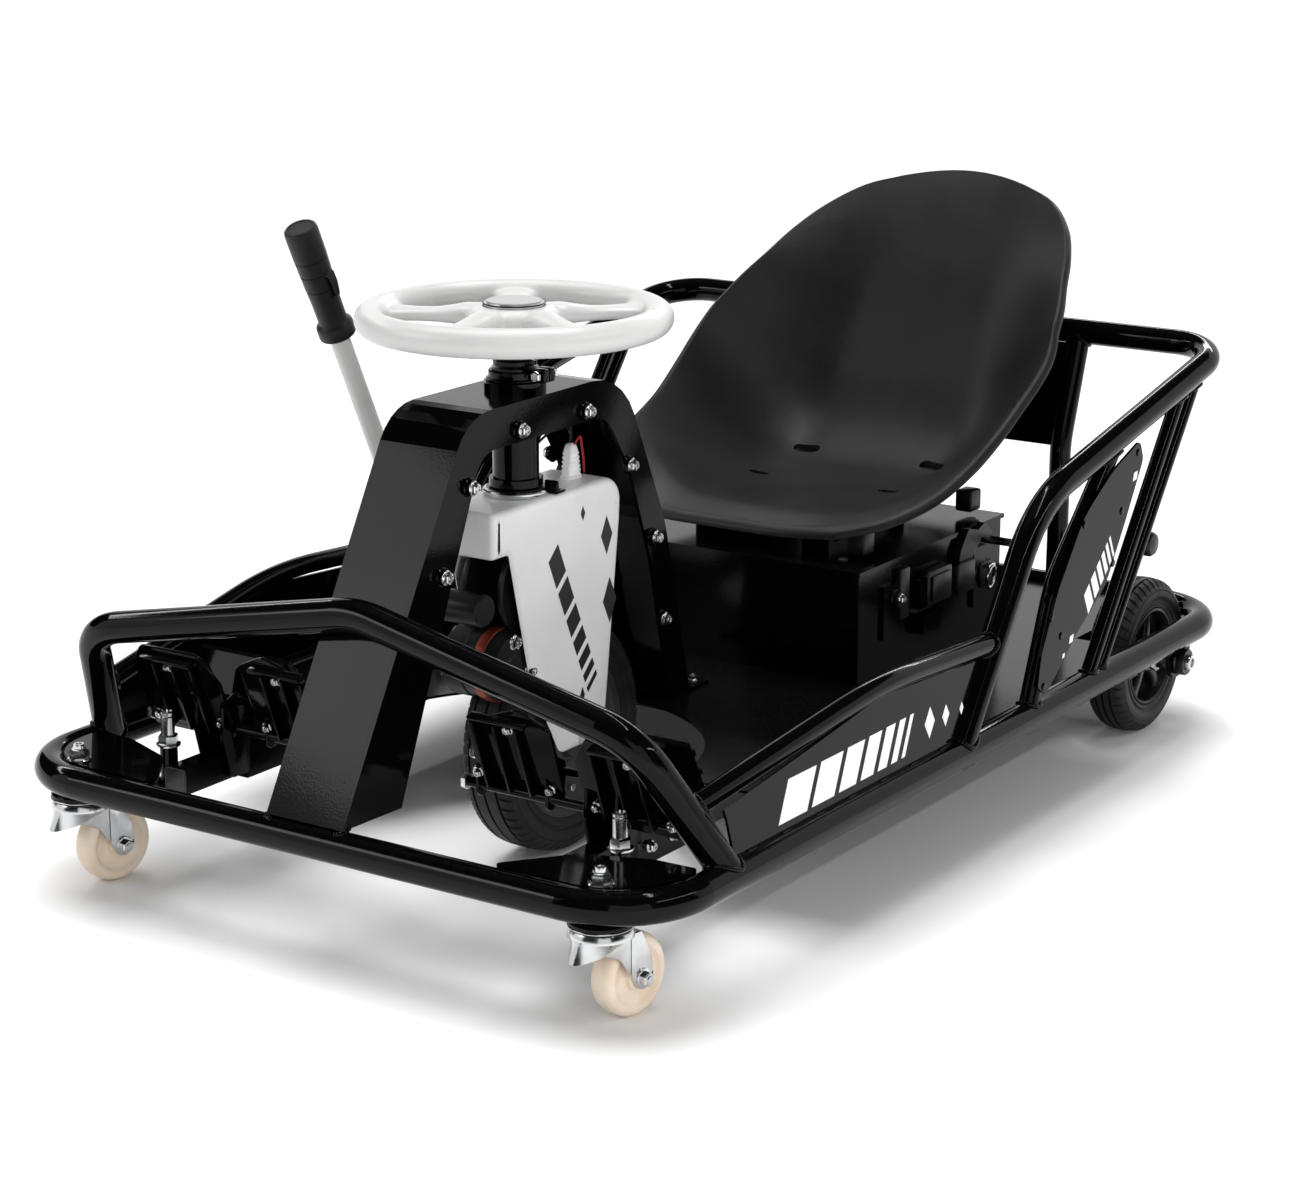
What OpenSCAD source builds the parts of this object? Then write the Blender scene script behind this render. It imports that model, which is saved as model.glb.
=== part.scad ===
// Drift go-kart: tube frame, swivelling front-drive fork under a steering column,
// two front swivel casters, two fixed rear wheels, bucket seat on a battery box.
// X is the driver's left, -Y is the front, Z = 0 is the floor.

/* [Base loop] */
// Outside diameter of the frame tube
tube_d = 33.7; // [30:0.1:38]
// Distance between the side rails' centrelines
rail_span = 786; // [740:2:840]
// Distance between the front and rear rails' centrelines
loop_len = 1255; // [1200:5:1300]
// Height of the loop's centreline
rail_z = 124; // [118:1:130]
// Bend radius of the front corners
front_bend = 90; // [80:1:96]
// Bend radius of the rear corners
rear_bend = 84; // [76:1:100]

/* [Foot guard] */
// Where the foot guard's feet stand, behind the front rail
guard_foot_y = 143; // [130:1:160]
// Height of the guard's outer corners
guard_corner_z = 267; // [250:1:285]
// Half distance between the guard's outer corners
guard_corner_x = 338; // [320:1:350]
// Height of the guard's middle
guard_peak_z = 331; // [315:1:345]
// Bend radius of the guard's corners
guard_bend = 60; // [45:1:75]

/* [Seat guard] */
// Outside diameter of the seat guard's tube
hoop_d = 30; // [26:0.5:32]
// Where the seat guard's feet stand, behind the front rail
hoop_foot_y = 586; // [575:1:600]
// Height of the seat guard's rear bar
hoop_rear_z = 456; // [450:1:462]
// Distance from the front rail to the seat guard's rear bar
hoop_rear_y = 1224; // [1216:1:1230]
// Bend radius of the seat guard's rear corners
hoop_bend = 62; // [50:1:75]
// Bend radius of the seat guard's knees
knee_bend = 160; // [120:5:180]
// Outside diameter of the front strut below it
strut_d = 22; // [20:0.5:24]
// Outside diameter of the paired rear struts
pair_d = 17; // [14:0.5:20]
// Outside diameter of the low side tubes
side_tube_d = 22; // [18:0.5:25]

/* [Panels] */
// Thickness of the floor sheet
floor_t = 3; // [2:0.25:5]
// Thickness of the side sheets
sheet_t = 3; // [2:0.25:4]
// Size of the square cross members
member_w = 25; // [20:1:28]

/* [Column] */
// Width of the steering column
column_w = 96; // [90:1:104]
// Sheet thickness of the column
column_t = 4; // [3:0.25:5]
// Height of the column's flat top
column_top = 511; // [500:1:520]
// Distance from the front rail to the steering axis
steer_y = 346; // [340:1:352]

/* [Steering] */
// Outside diameter of the steering wheel
wheel_d = 326; // [300:1:340]
// Thickness of the steering wheel's rim
rim_d = 31; // [26:0.5:36]
// Height of the steering wheel's rim
wheel_z = 583; // [574:1:592]
// Diameter of the turning stem
stem_d = 30; // [26:0.5:34]
// Outside diameter of the head tube
head_d = 48; // [44:0.5:52]
// Height of the fork's flat top
fork_top = 400; // [392:1:404]
// Half width of the fork
fork_half = 42; // [41:0.25:43]
// Wall thickness of the fork
fork_t = 5; // [4:0.25:5.5]

/* [Drive wheel] */
// Outside diameter of the drive tyre
drive_d = 254; // [244:1:258]
// Width of the drive tyre
drive_w = 62; // [50:1:64]
// How far the drive axle lies behind the steering axis
drive_trail = 59; // [54:1:60]

/* [Casters] */
// Diameter of the caster wheels
caster_d = 82; // [76:1:86]
// Width of the caster wheels
caster_w = 28; // [24:0.5:30]
// Half distance between the caster swivels
caster_x = 326; // [322:0.5:326]
// Distance from the front rail to the caster swivels
caster_y = 28; // [28:0.5:34]
// How far the caster's axle lies behind its swivel
caster_trail = 36; // [30:0.5:38]
// Swing of the left caster at rest, in degrees
left_swing = 9; // [-40:1:40]
// Swing of the right caster at rest, in degrees
right_swing = 10; // [-40:1:40]

/* [Rear wheels] */
// Outside diameter of the rear tyres
rear_d = 186; // [180:1:188]
// Width of the rear tyres
rear_w = 50; // [44:1:54]
// Half track of the rear wheels
rear_x = 338; // [334:0.5:340]
// Distance from the front rail to the rear axle
axle_y = 1130; // [1116:1:1132]
// Diameter of the rear axle bolts
axle_d = 16; // [12:0.5:18]

/* [Battery box] */
// Width of the battery box
box_w = 380; // [350:2:400]
// Length of the battery box
box_len = 334; // [310:2:350]
// Height of the battery box
box_h = 130; // [120:1:134]
// Distance from the front rail to the battery box
box_y = 724; // [715:1:735]

/* [Seat] */
// Half width of the seat
seat_half = 237; // [220:1:245]
// Thickness of the seat shell
seat_t = 5; // [4:0.25:6]
// Height of the seat runners on the battery box
runner_h = 27; // [25:0.5:28]

/* [Lever] */
// Diameter of the lever's tube
lever_d = 23; // [20:0.5:24]
// Diameter of the lever's grip
grip_d = 38; // [34:0.5:40]
// Length of the lever's grip
grip_len = 140; // [120:1:150]

/* [Hidden] */
$fn = 48;

// Gap at a weld or a seat, running clearance of a bore, and clearance of turning parts
weld = 0.1;
fit = 0.05;
clear = 6;
// Gap round a gentle bend that another piece is notched for
arc_gap = 2.2;
// Angle of the hairline seam at each end of a bend
seam = 0.02;

// Derived places
rail_x = rail_span / 2;
mid_y = 649.7;
rail_top = rail_z + tube_d / 2;
rail_low = rail_z - tube_d / 2;
rail_in = rail_x - tube_d / 2;
floor_top = rail_z + 6;
member_z = floor_top - floor_t - member_w / 2;
drive_r = drive_d / 2;
drive_y = steer_y + drive_trail;
swept = norm([drive_trail + drive_r, drive_w / 2]);
well_r = swept + clear + 1;
rear_r = rear_d / 2;
axle_z = rear_r;
box_top = floor_top + box_h;
seat_under = box_top + runner_h;

// Vector helpers
function unit(v) = v / norm(v);
function mirror_x(p) = [-p.x, p.y, p.z];
function lerp(a, b, t) = a + (b - a) * t;
function turn(p, i) = acos(max(-1, min(1, unit(p[i] - p[i - 1]) * unit(p[i + 1] - p[i]))));
function cut(p, i, r) = i == 0 || i == len(p) - 1 ? 0 : r[i] * tan(turn(p, i) / 2);

// Corner arcs of a flat outline: rows are [x, y, radius]
function arc_at(p, i) =
  let(
    n = len(p),
    a = unit([p[i].x - p[(i + n - 1) % n].x, p[i].y - p[(i + n - 1) % n].y]),
    b = unit([p[(i + 1) % n].x - p[i].x, p[(i + 1) % n].y - p[i].y]),
    q = acos(max(-1, min(1, a * b))),
    t = p[i].z * tan(q / 2),
    s = sign(a.x * b.y - a.y * b.x),
    c = [p[i].x, p[i].y] - a * t + s * p[i].z * [-a.y, a.x],
    steps = max(2, round(q / 12))
  )
  p[i].z <= 0 || q < 1
    ? [[p[i].x, p[i].y]]
    : [for (k = [0:steps])
        let(w = s * q * k / steps)
        c + s * p[i].z * [a.y * cos(w) + a.x * sin(w), -a.x * cos(w) + a.y * sin(w)]];
function rounded(p) = [for (i = [0:len(p) - 1]) each arc_at(p, i)];

// Moves a piece from its distance behind the front rail to the part's own origin
module placed() {
  translate([0, -mid_y, 0]) children();
}

module both_sides() {
  children();
  mirror([1, 0, 0]) children();
}

// A straight bar of diameter d from a to b
module bar(a, b, d) {
  v = b - a;
  translate(a)
    rotate([0, acos(v.z / norm(v)), atan2(v.y, v.x)])
      cylinder(d = d, h = norm(v));
}

// A round tube of diameter d along points p, bent to radius r[i] at each inner point.
// A hairline seam lies between each straight and bend, and a core joins them
module bent(p, d, r) {
  n = len(p);
  for (i = [0:n - 2]) {
    way = unit(p[i + 1] - p[i]);
    bar(p[i] + way * cut(p, i, r), p[i + 1] - way * cut(p, i + 1, r), d);
  }
  for (i = [1:n - 2]) {
    a = unit(p[i] - p[i - 1]);
    b = unit(p[i + 1] - p[i]);
    q = turn(p, i) - 2 * seam;
    bar(p[i] - a * (cut(p, i, r) + 4), p[i] - a * (cut(p, i, r) - 4), d - 3);
    bar(p[i] + b * (cut(p, i, r) - 4), p[i] + b * (cut(p, i, r) + 4), d - 3);
    c = p[i] + unit(b - a) * r[i] / cos(turn(p, i) / 2);
    e = unit(p[i] - a * cut(p, i, r) - c);
    k = cross(e, a);
    multmatrix([
      [e.x, a.x, k.x, c.x],
      [e.y, a.y, k.y, c.y],
      [e.z, a.z, k.z, c.z],
      [0, 0, 0, 1]
    ])
      rotate([0, 0, seam]) rotate_extrude(angle = q) translate([r[i], 0]) circle(d = d);
  }
}

// A flat sheet of thickness t, its outline in Y and Z, with its middle at x
module upright(x, t, outline) {
  translate([x - t / 2, 0, 0])
    rotate([90, 0, 90])
      linear_extrude(t) polygon(outline);
}

module hex_head(across, h) {
  cylinder(d = across / cos(30), h = h, $fn = 6);
}

// Tube routes, as [x, distance behind the front rail, height]
guard_route = [
  [-rail_x, guard_foot_y, rail_z],
  [-guard_corner_x, 66, guard_corner_z],
  [0, 84, guard_peak_z],
  [guard_corner_x, 66, guard_corner_z],
  [rail_x, guard_foot_y, rail_z]
];
hoop_knee = [rail_x, hoop_foot_y + 164, 360];
hoop_route = [
  [-rail_x, hoop_foot_y, rail_z],
  mirror_x(hoop_knee),
  [-rail_x, hoop_rear_y, hoop_rear_z],
  [rail_x, hoop_rear_y, hoop_rear_z],
  hoop_knee,
  [rail_x, hoop_foot_y, rail_z]
];
function hoop_z(y) = lerp(hoop_knee.z, hoop_rear_z, (y - hoop_knee.y) / (hoop_rear_y - hoop_knee.y));
strut_route = [
  [rail_x, 740, rail_z],
  [rail_x, 796, 262],
  [rail_x, 940, hoop_z(940)]
];
// Paired rear struts: [foot, head], both behind the front rail
pair_rows = [[879, 1111], [905, 1150]];
side_route = [
  [rail_x - 9, 92, 198],
  [rail_x, 419, 243],
  [rail_x, 656, 228]
];

// The bent tubes as bare shapes, grown by g where another tube is coped to them
module rails(g = 0) {
  for (s = [-1, 1]) bar([s * rail_x, 40, rail_z], [s * rail_x, loop_len - 40, rail_z], tube_d + 2 * g);
}

module guard_legs(g) {
  both_sides() bar(guard_route[4], guard_route[3], tube_d + 2 * g);
}

module guard_tops(g) {
  both_sides() bar(guard_route[3], guard_route[2], tube_d + 2 * g);
}

module hoop_legs(g) {
  both_sides() bar(hoop_route[5], hoop_knee, hoop_d + 2 * g);
}

module hoop_sides(g) {
  both_sides() bar(hoop_knee, hoop_route[3], hoop_d + 2 * g);
}

module hoop_bar(g) {
  bar(hoop_route[2], hoop_route[3], hoop_d + 2 * g);
}

module base_loop() {
  color("dimgray") placed() {
    for (s = [-1, 1]) {
      bar([s * rail_x, front_bend, rail_z], [s * rail_x, loop_len - rear_bend, rail_z], tube_d);
      translate([s * (rail_x - front_bend), front_bend, rail_z])
        rotate([0, 0, s > 0 ? -90 : 180])
          rotate_extrude(angle = 90) translate([front_bend, 0]) circle(d = tube_d);
      translate([s * (rail_x - rear_bend), loop_len - rear_bend, rail_z])
        rotate([0, 0, s > 0 ? 0 : 90])
          rotate_extrude(angle = 90) translate([rear_bend, 0]) circle(d = tube_d);
    }
    bar([-rail_x + front_bend, 0, rail_z], [rail_x - front_bend, 0, rail_z], tube_d);
    bar([-rail_x + rear_bend, loop_len, rail_z], [rail_x - rear_bend, loop_len, rail_z], tube_d);
  }
}

module guard_hoop() {
  color("slategray") placed() difference() {
    bent(guard_route, tube_d, [0, guard_bend, 2 * guard_bend, guard_bend, 0]);
    rails(weld);
  }
}

module seat_guard() {
  color("slategray") placed() difference() {
    bent(hoop_route, hoop_d, [0, knee_bend, hoop_bend, hoop_bend, knee_bend, 0]);
    rails(weld);
  }
}

module struts() {
  color("gray") placed() difference() {
    both_sides() {
      bent(strut_route, strut_d, [0, 110, 0]);
      for (row = pair_rows)
        bar([rail_x, row[0], rail_z], [rail_x, row[1], hoop_z(row[1])], pair_d);
    }
    rails(weld);
    hoop_sides(weld);
  }
}

module side_tubes() {
  color("gray") placed() difference() {
    both_sides() bent(side_route, side_tube_d, [0, 300, 0]);
    guard_legs(weld);
    hoop_legs(weld);
  }
}

// Low side sheets between the rail and the side tube
module side_panels() {
  low = rail_top - 3;
  panel = [[150, low], [606, low], [650, 219], [419, 236], [128, 198], [136, 180]];
  color("darkslategray") placed() difference() {
    both_sides() upright(rail_x, sheet_t, panel);
    both_sides() {
      bar(side_route[0], side_route[1], side_tube_d + 2 * arc_gap);
      bar(side_route[1], side_route[2], side_tube_d + 2 * arc_gap);
    }
    rails(weld);
    guard_legs(weld);
    hoop_legs(weld);
  }
}

// Leaf-shaped sheets on the outside of the struts
module leaf_panels() {
  leaf = rounded([
    [738, 160, 6], [744, 194, 60], [780, 260, 90], [838, 331, 90], [904, 368, 90], [972, 391, 8],
    [982, 368, 12], [942, 305, 90], [897, 240, 60], [826, 199, 60], [786, 168, 20], [757, 148, 6]
  ]);
  color("darkslategray") placed()
    both_sides() upright(rail_x + (strut_d + sheet_t) / 2 + weld, sheet_t, leaf);
}

post_x = 205;
post_y = 1180;
post_d = 26;
post_knee = 325;

module back_posts() {
  color("gray") placed() difference() {
    both_sides() bent([
      [post_x, post_y, floor_top + weld],
      [post_x, post_y, post_knee],
      [post_x, hoop_rear_y, hoop_rear_z]
    ], post_d, [0, 90, 0]);
    hoop_bar(weld);
  }
}

// Plate between the posts, under the seat guard's rear bar
module back_plate() {
  rise = [hoop_rear_y - post_y, hoop_rear_z - post_knee];
  half = post_x - post_d / 2 - weld;
  color("darkslategray") placed()
    translate([0, post_y, post_knee]) rotate([-atan2(rise.x, rise.y), 0, 0])
      translate([-half, -sheet_t / 2, -4])
        cube([2 * half, sheet_t, norm(rise) - hoop_d / 2 + 4 - 0.3]);
}

bracket_t = 6;
member_rows = [612, 760, 1010];
sub_x = rear_x - rear_w / 2 - clear - bracket_t - member_w / 2 - 2 * weld;

// Floor sheet with the drive wheel's well and the rear wheels' notches
module floor_panel() {
  notch_x = rear_x - rear_w / 2 - clear;
  color("dimgray") placed() difference() {
    translate([-rail_x, 345, floor_top - floor_t])
      cube([rail_span, loop_len - 345 + 2, floor_t]);
    translate([0, steer_y, floor_top - 10]) cylinder(r = well_r, h = 20, $fn = 96);
    for (s = [-1, 1])
      translate([s > 0 ? notch_x : -rail_x - 5, axle_y - rear_r - clear, floor_top - 10])
        cube([rail_x + 5 - notch_x, loop_len, 20]);
    rails(weld);
    bar([-rail_x, loop_len, rail_z], [rail_x, loop_len, rail_z], tube_d + 2 * weld);
    both_sides()
      translate([rail_x - rear_bend, loop_len - rear_bend, rail_z]) difference() {
        rotate_extrude(angle = 90) translate([rear_bend - tube_d / 2 - weld, -10]) square([80, 20]);
      }
  }
}

// Square members under the floor, from rail to rail, and short ones inside the rear wheels
module cross_members() {
  color("gray") placed() difference() {
    union() {
      for (y = member_rows)
        translate([-rail_x, y - member_w / 2, member_z - member_w / 2 - weld])
          cube([rail_span, member_w, member_w]);
      for (s = [-1, 1])
        translate([s * sub_x - member_w / 2, member_rows[2], member_z - member_w / 2 - weld])
          cube([member_w, loop_len - member_rows[2], member_w]);
    }
    rails(weld);
    bar([-rail_x, loop_len, rail_z], [rail_x, loop_len, rail_z], tube_d + 2 * weld);
  }
}

stud_d = 12;
plate_z = rail_z + 9;

// Gussets on the front corners, each with a hole for the caster's stud
module corner_plates() {
  edge = sqrt(pow(tube_d / 2, 2) - pow(plate_z - rail_z, 2)) + weld;
  gusset = rounded([
    [208, edge, 6], [rail_x - edge, edge, front_bend - edge], [rail_x - edge, 112, 6],
    [330, 110, 20], [262, 84, 30]
  ]);
  color("darkslategray") placed() both_sides()
    translate([0, 0, plate_z]) linear_extrude(5) difference() {
      polygon(gusset);
      translate([caster_x, caster_y]) circle(d = stud_d + 2 * weld);
    }
}

foot_x = 248;
foot_w = 27;
foot_low = floor_top - floor_t - foot_w - weld;

// Square rails with end caps that carry the foot rests
module foot_rails() {
  color("gray") placed() both_sides() {
    difference() {
      translate([foot_x - foot_w / 2, 88, foot_low])
        cube([foot_w, member_rows[0] - member_w / 2 - weld - 88, foot_w]);
      translate([foot_x - foot_w / 2 + 2.5, 100, foot_low + 2.5])
        cube([foot_w - 5, member_rows[0], foot_w - 5]);
    }
  }
}

// Tilted foot rests on sleeves that clamp to the foot rails
module foot_rests() {
  top = foot_low + foot_w + weld;
  color("darkslategray") placed() both_sides() difference() {
    union() {
      translate([foot_x - foot_w / 2 - 5, 176, foot_low - 5])
        cube([foot_w + 10, 84, foot_w + 10]);
      translate([foot_x - 60, 246, top + 2]) rotate([28, 0, 0]) {
        cube([120, 6, 104]);
        for (k = [0:3]) translate([0, 4, 10 + 25 * k]) cube([120, 6, 6]);
      }
      for (k = [-1, 1])
        upright(foot_x + k * 15, 5, [
          [180, top + 1], [252, top + 1], [212, top + 78], [203, top + 74]
        ]);
    }
    translate([foot_x - foot_w / 2 - weld, 100, foot_low - weld])
      cube([foot_w + 2 * weld, 200, foot_w + 2 * weld]);
  }
}

// Column outline as [distance behind the front rail, height, corner radius]
column_foot = floor_top + weld;
column_outer = [
  [-3, rail_top + 2, 0], [203, column_top, 62], [470, column_top, 84], [550, 336, 170],
  [600, column_foot, 0]
];
column_window = [
  [70, rail_top - 40, 0], [152, 297, 60], [224, 470, 34], [440, 470, 40], [484, 404, 60],
  [522, 300, 120], [550, 181, 120], [560, 60, 0]
];

// Shifts an open outline inwards by t, keeping its corners
function inset(p, t) = [
  for (i = [0:len(p) - 1])
    let(
      a = i == 0 ? unit([p[1].x - p[0].x, p[1].y - p[0].y])
        : unit([p[i].x - p[i - 1].x, p[i].y - p[i - 1].y]),
      b = i == len(p) - 1 ? a : unit([p[i + 1].x - p[i].x, p[i + 1].y - p[i].y]),
      m = unit(a + b),
      k = t / (m * a)
    )
    [p[i].x + m.y * k, p[i].y - m.x * k, max(0, p[i].z - t)]
];
function reversed(p) = [for (i = [len(p) - 1:-1:0]) p[i]];

// Folded strip that makes the column's front, top and rear
module column_shell() {
  outer = rounded(column_outer);
  inner = rounded(inset(column_outer, column_t));
  color("dimgray") placed() difference() {
    union() {
      upright(0, column_w - 2 * column_t - 2 * weld, concat(outer, reversed(inner)));
      translate([-column_w / 2, 560, floor_top + weld]) cube([column_w, 78, 4]);
    }
    bar([-rail_x, 0, rail_z], [rail_x, 0, rail_z], tube_d + 2 * weld);
    translate([0, steer_y, column_top - 20]) cylinder(d = head_d + 2 * weld, h = 40);
    guard_tops(arc_gap);
    translate([-column_w / 2, 345, floor_top - 40]) cube([column_w, 400, 40 + weld]);
  }
}

// Side plates with the big window
module column_sides() {
  color("darkslategray") placed() difference() {
    both_sides() difference() {
      upright((column_w - column_t) / 2, column_t, rounded(column_outer));
      upright((column_w - column_t) / 2, column_t + 2, rounded(column_window));
      translate([0, 540, floor_top - 1]) cube([column_w, 110, 5 + 2 * weld]);
    }
    bar([-rail_x, 0, rail_z], [rail_x, 0, rail_z], tube_d + 2 * weld);
    guard_tops(arc_gap);
  }
}

head_low = fork_top + 10;

// Head tube that carries the stem, with its collar and clamp on the column's top
module steering_head() {
  color("silver") placed() translate([0, steer_y, 0]) difference() {
    union() {
      translate([0, 0, head_low]) cylinder(d = head_d, h = column_top - head_low + 22);
      translate([0, 0, column_top + weld]) cylinder(d = head_d + 16, h = 8);
      translate([0, 0, head_low]) cylinder(d = head_d + 8, h = 8);
      translate([0, 0, column_top + 12]) cylinder(d = head_d + 6, h = 6);
      translate([20, -8, column_top + 9]) cube([20, 16, 10]);
    }
    translate([0, 0, head_low - 1]) cylinder(d = stem_d + 2 * fit, h = 200);
    translate([35, 0, column_top + 14]) rotate([90, 0, 0]) cylinder(d = 6, h = 40, center = true);
  }
}

// Box with a flanged lid
module battery_box() {
  color("dimgray") placed() {
    translate([-box_w / 2, box_y, floor_top + weld]) cube([box_w, box_len, box_h - 5]);
    translate([-box_w / 2 - 3, box_y - 3, box_top - 5]) cube([box_w + 6, box_len + 6, 5 - weld]);
  }
}

// Latch, plug socket and edge straps on the box's sides
module box_fittings() {
  color("silver") placed() for (s = [-1, 1]) {
    x = s > 0 ? box_w / 2 + weld : -box_w / 2 - weld - 12;
    translate([x, box_y + 118, floor_top + 62]) cube([12, 96, 34]);
    translate([x, box_y + 128, floor_top + 30]) cube([12, 40, 24]);
    translate([s > 0 ? x : x + 8, box_y + 50, floor_top + 40]) cube([4, 30, 62]);
    translate([s > 0 ? x : x + 8, box_y + 262, floor_top + 30]) cube([4, 30, 72]);
  }
}

// Two hat-section runners between the box and the seat
module seat_runners() {
  color("silver") placed() both_sides() difference() {
    translate([55, box_y + 100, box_top]) cube([36, 176, runner_h - weld]);
    translate([58, box_y + 90, box_top - 1]) cube([30, 200, runner_h - 3]);
  }
}

// Seat shell rows, front to top: [middle y, middle z, half width, rim y, rim z]
seat_rows = [
  [742, 293, 0.60, 752, 297],
  [764, 290, 0.78, 782, 308],
  [812, 292, 0.91, 834, 327],
  [880, 292, 0.965, 894, 352],
  [950, 292, 0.975, 955, 378],
  [1010, 293, 0.99, 1008, 410],
  [1065, 300, 1.00, 1040, 431],
  [1112, 328, 1.00, 1066, 450],
  [1146, 370, 0.985, 1086, 468],
  [1170, 415, 0.955, 1106, 484],
  [1192, 458, 0.92, 1134, 504],
  [1218, 505, 0.86, 1168, 528],
  [1245, 545, 0.80, 1204, 553],
  [1274, 583, 0.70, 1244, 580],
  [1298, 611, 0.55, 1280, 605],
  [1312, 625, 0.36, 1303, 621]
];
seat_cols = 20;
lip = 9;

function seat_v(j) = 2 * j / seat_cols - 1;
function rise(s) = pow(max(0, (s - 0.4) / 0.6), 1.7);
function seat_pt(i, j) =
  let(
    r = seat_rows[i],
    v = seat_v(j),
    w = seat_half * r[2] * sin(90 * v) * (1 - 0.04 * (1 - abs(v))),
    k = rise(sin(90 * abs(v)))
  )
  [w, lerp(r[0], r[3], k), lerp(r[1], r[4], k)];
function seat_grid() = [
  for (i = [0:len(seat_rows) - 1]) [for (j = [0:seat_cols]) seat_pt(i, j)]
];
// Adds the turned-down lip round a grid
function end_dir(g, i, j) =
  let(n = len(g) - 1)
  i < 0 ? unit(g[0][j] - g[1][j]) : i > n ? unit(g[n][j] - g[n - 1][j]) : [0, 0, 0];
function side_dir(g, i, j) =
  let(m = len(g[0]) - 1)
  j < 0 ? unit(g[i][0] - g[i][1]) : j > m ? unit(g[i][m] - g[i][m - 1]) : [0, 0, 0];
function lipped(g) =
  let(n = len(g) - 1, m = len(g[0]) - 1)
  [
    for (i = [-1:n + 1])
      [for (j = [-1:m + 1])
        let(
          p = max(0, min(n, i)),
          q = max(0, min(m, j)),
          way = end_dir(g, i, q) + side_dir(g, p, j)
        )
        i == p && j == q ? g[p][q] : g[p][q] + lip * [way.x, way.y, -1]]
  ];
function grid_normal(g, i, j) =
  let(
    n = len(g) - 1,
    m = len(g[0]) - 1,
    u = g[min(n, i + 1)][j] - g[max(0, i - 1)][j],
    v = g[i][min(m, j + 1)] - g[i][max(0, j - 1)]
  )
  unit(cross(v, u));
function thick_grid(g, t) = [
  for (i = [0:len(g) - 1]) [for (j = [0:len(g[0]) - 1]) g[i][j] - t * grid_normal(g, i, j)]
];
function grid_faces(n, m) =
  let(a = (n + 1) * (m + 1), w = m + 1)
  concat(
    [for (i = [0:n - 1], j = [0:m - 1]) each [
      [i * w + j, i * w + j + 1, (i + 1) * w + j + 1],
      [i * w + j, (i + 1) * w + j + 1, (i + 1) * w + j],
      [a + i * w + j, a + (i + 1) * w + j + 1, a + i * w + j + 1],
      [a + i * w + j, a + (i + 1) * w + j, a + (i + 1) * w + j + 1]
    ]],
    [for (i = [0:n - 1]) each [
      [i * w, (i + 1) * w, a + (i + 1) * w],
      [i * w, a + (i + 1) * w, a + i * w],
      [i * w + m, a + (i + 1) * w + m, (i + 1) * w + m],
      [i * w + m, a + i * w + m, a + (i + 1) * w + m]
    ]],
    [for (j = [0:m - 1]) each [
      [j, a + j + 1, j + 1],
      [j, a + j, a + j + 1],
      [n * w + j, n * w + j + 1, a + n * w + j + 1],
      [n * w + j, a + n * w + j + 1, a + n * w + j]
    ]]
  );

module seat() {
  g = lipped(seat_grid());
  h = thick_grid(g, seat_t);
  pts = concat([for (r = g) each r], [for (r = h) each r]);
  faces = grid_faces(len(g) - 1, len(g[0]) - 1);
  color("#303030") placed()
    translate([0, 0, seat_under + seat_t - 292 + weld]) polyhedron(pts, faces);
}

// Hanging plates that hold the rear axle bolts: one at the rail, one at the inner member
module axle_brackets() {
  ear = rounded([
    [axle_y - 34, rail_z - 2, 0], [axle_y - 20, axle_z - 18, 16], [axle_y + 20, axle_z - 18, 16],
    [axle_y + 34, rail_z - 2, 0]
  ]);
  color("darkslategray") placed() difference() {
    both_sides() {
      upright(rail_x, bracket_t, reversed(ear));
      upright(sub_x + (member_w + bracket_t) / 2 + weld, bracket_t, reversed(ear));
    }
    rails(weld);
    both_sides() bar([sub_x, axle_y, axle_z], [rail_x + 20, axle_y, axle_z], axle_d + 2 * weld);
  }
}

// Axle bolts with their hex heads and nuts
module rear_axles() {
  color("silver") placed() both_sides() {
    a = sub_x + member_w / 2 + weld;
    bar([a, axle_y, axle_z], [rail_x + 24, axle_y, axle_z], axle_d);
    translate([rail_x + bracket_t / 2 + weld, axle_y, axle_z])
      rotate([0, 90, 0]) {
        cylinder(d = 27, h = 3);
        translate([0, 0, 3]) hex_head(19, 13);
      }
    for (x = [[a + bracket_t + weld, rear_x - rear_w / 2 + 2 - 0.3],
              [rear_x + rear_w / 2 - 2 + 0.3, rail_x - bracket_t / 2 - weld]])
      bar([x[0], axle_y, axle_z], [x[1], axle_y, axle_z], 25);
  }
}

head_z = rail_low - weld;
race_h = 8;
race_gap = 1;

// Fixed caster races with their studs and nuts
module caster_heads() {
  color("silver") placed() both_sides() translate([caster_x, caster_y, 0]) {
    translate([0, 0, head_z - race_h]) cylinder(d = 62, h = race_h);
    translate([0, 0, caster_d / 2 + 33]) cylinder(d = stud_d, h = plate_z + 24 - caster_d / 2 - 33);
    translate([0, 0, plate_z + 5 + weld]) {
      cylinder(d = 26, h = 3);
      translate([0, 0, 3]) hex_head(19, 10);
    }
  }
}

caster_crown = head_z - race_h - race_gap;
caster_axle = 8;

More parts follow.
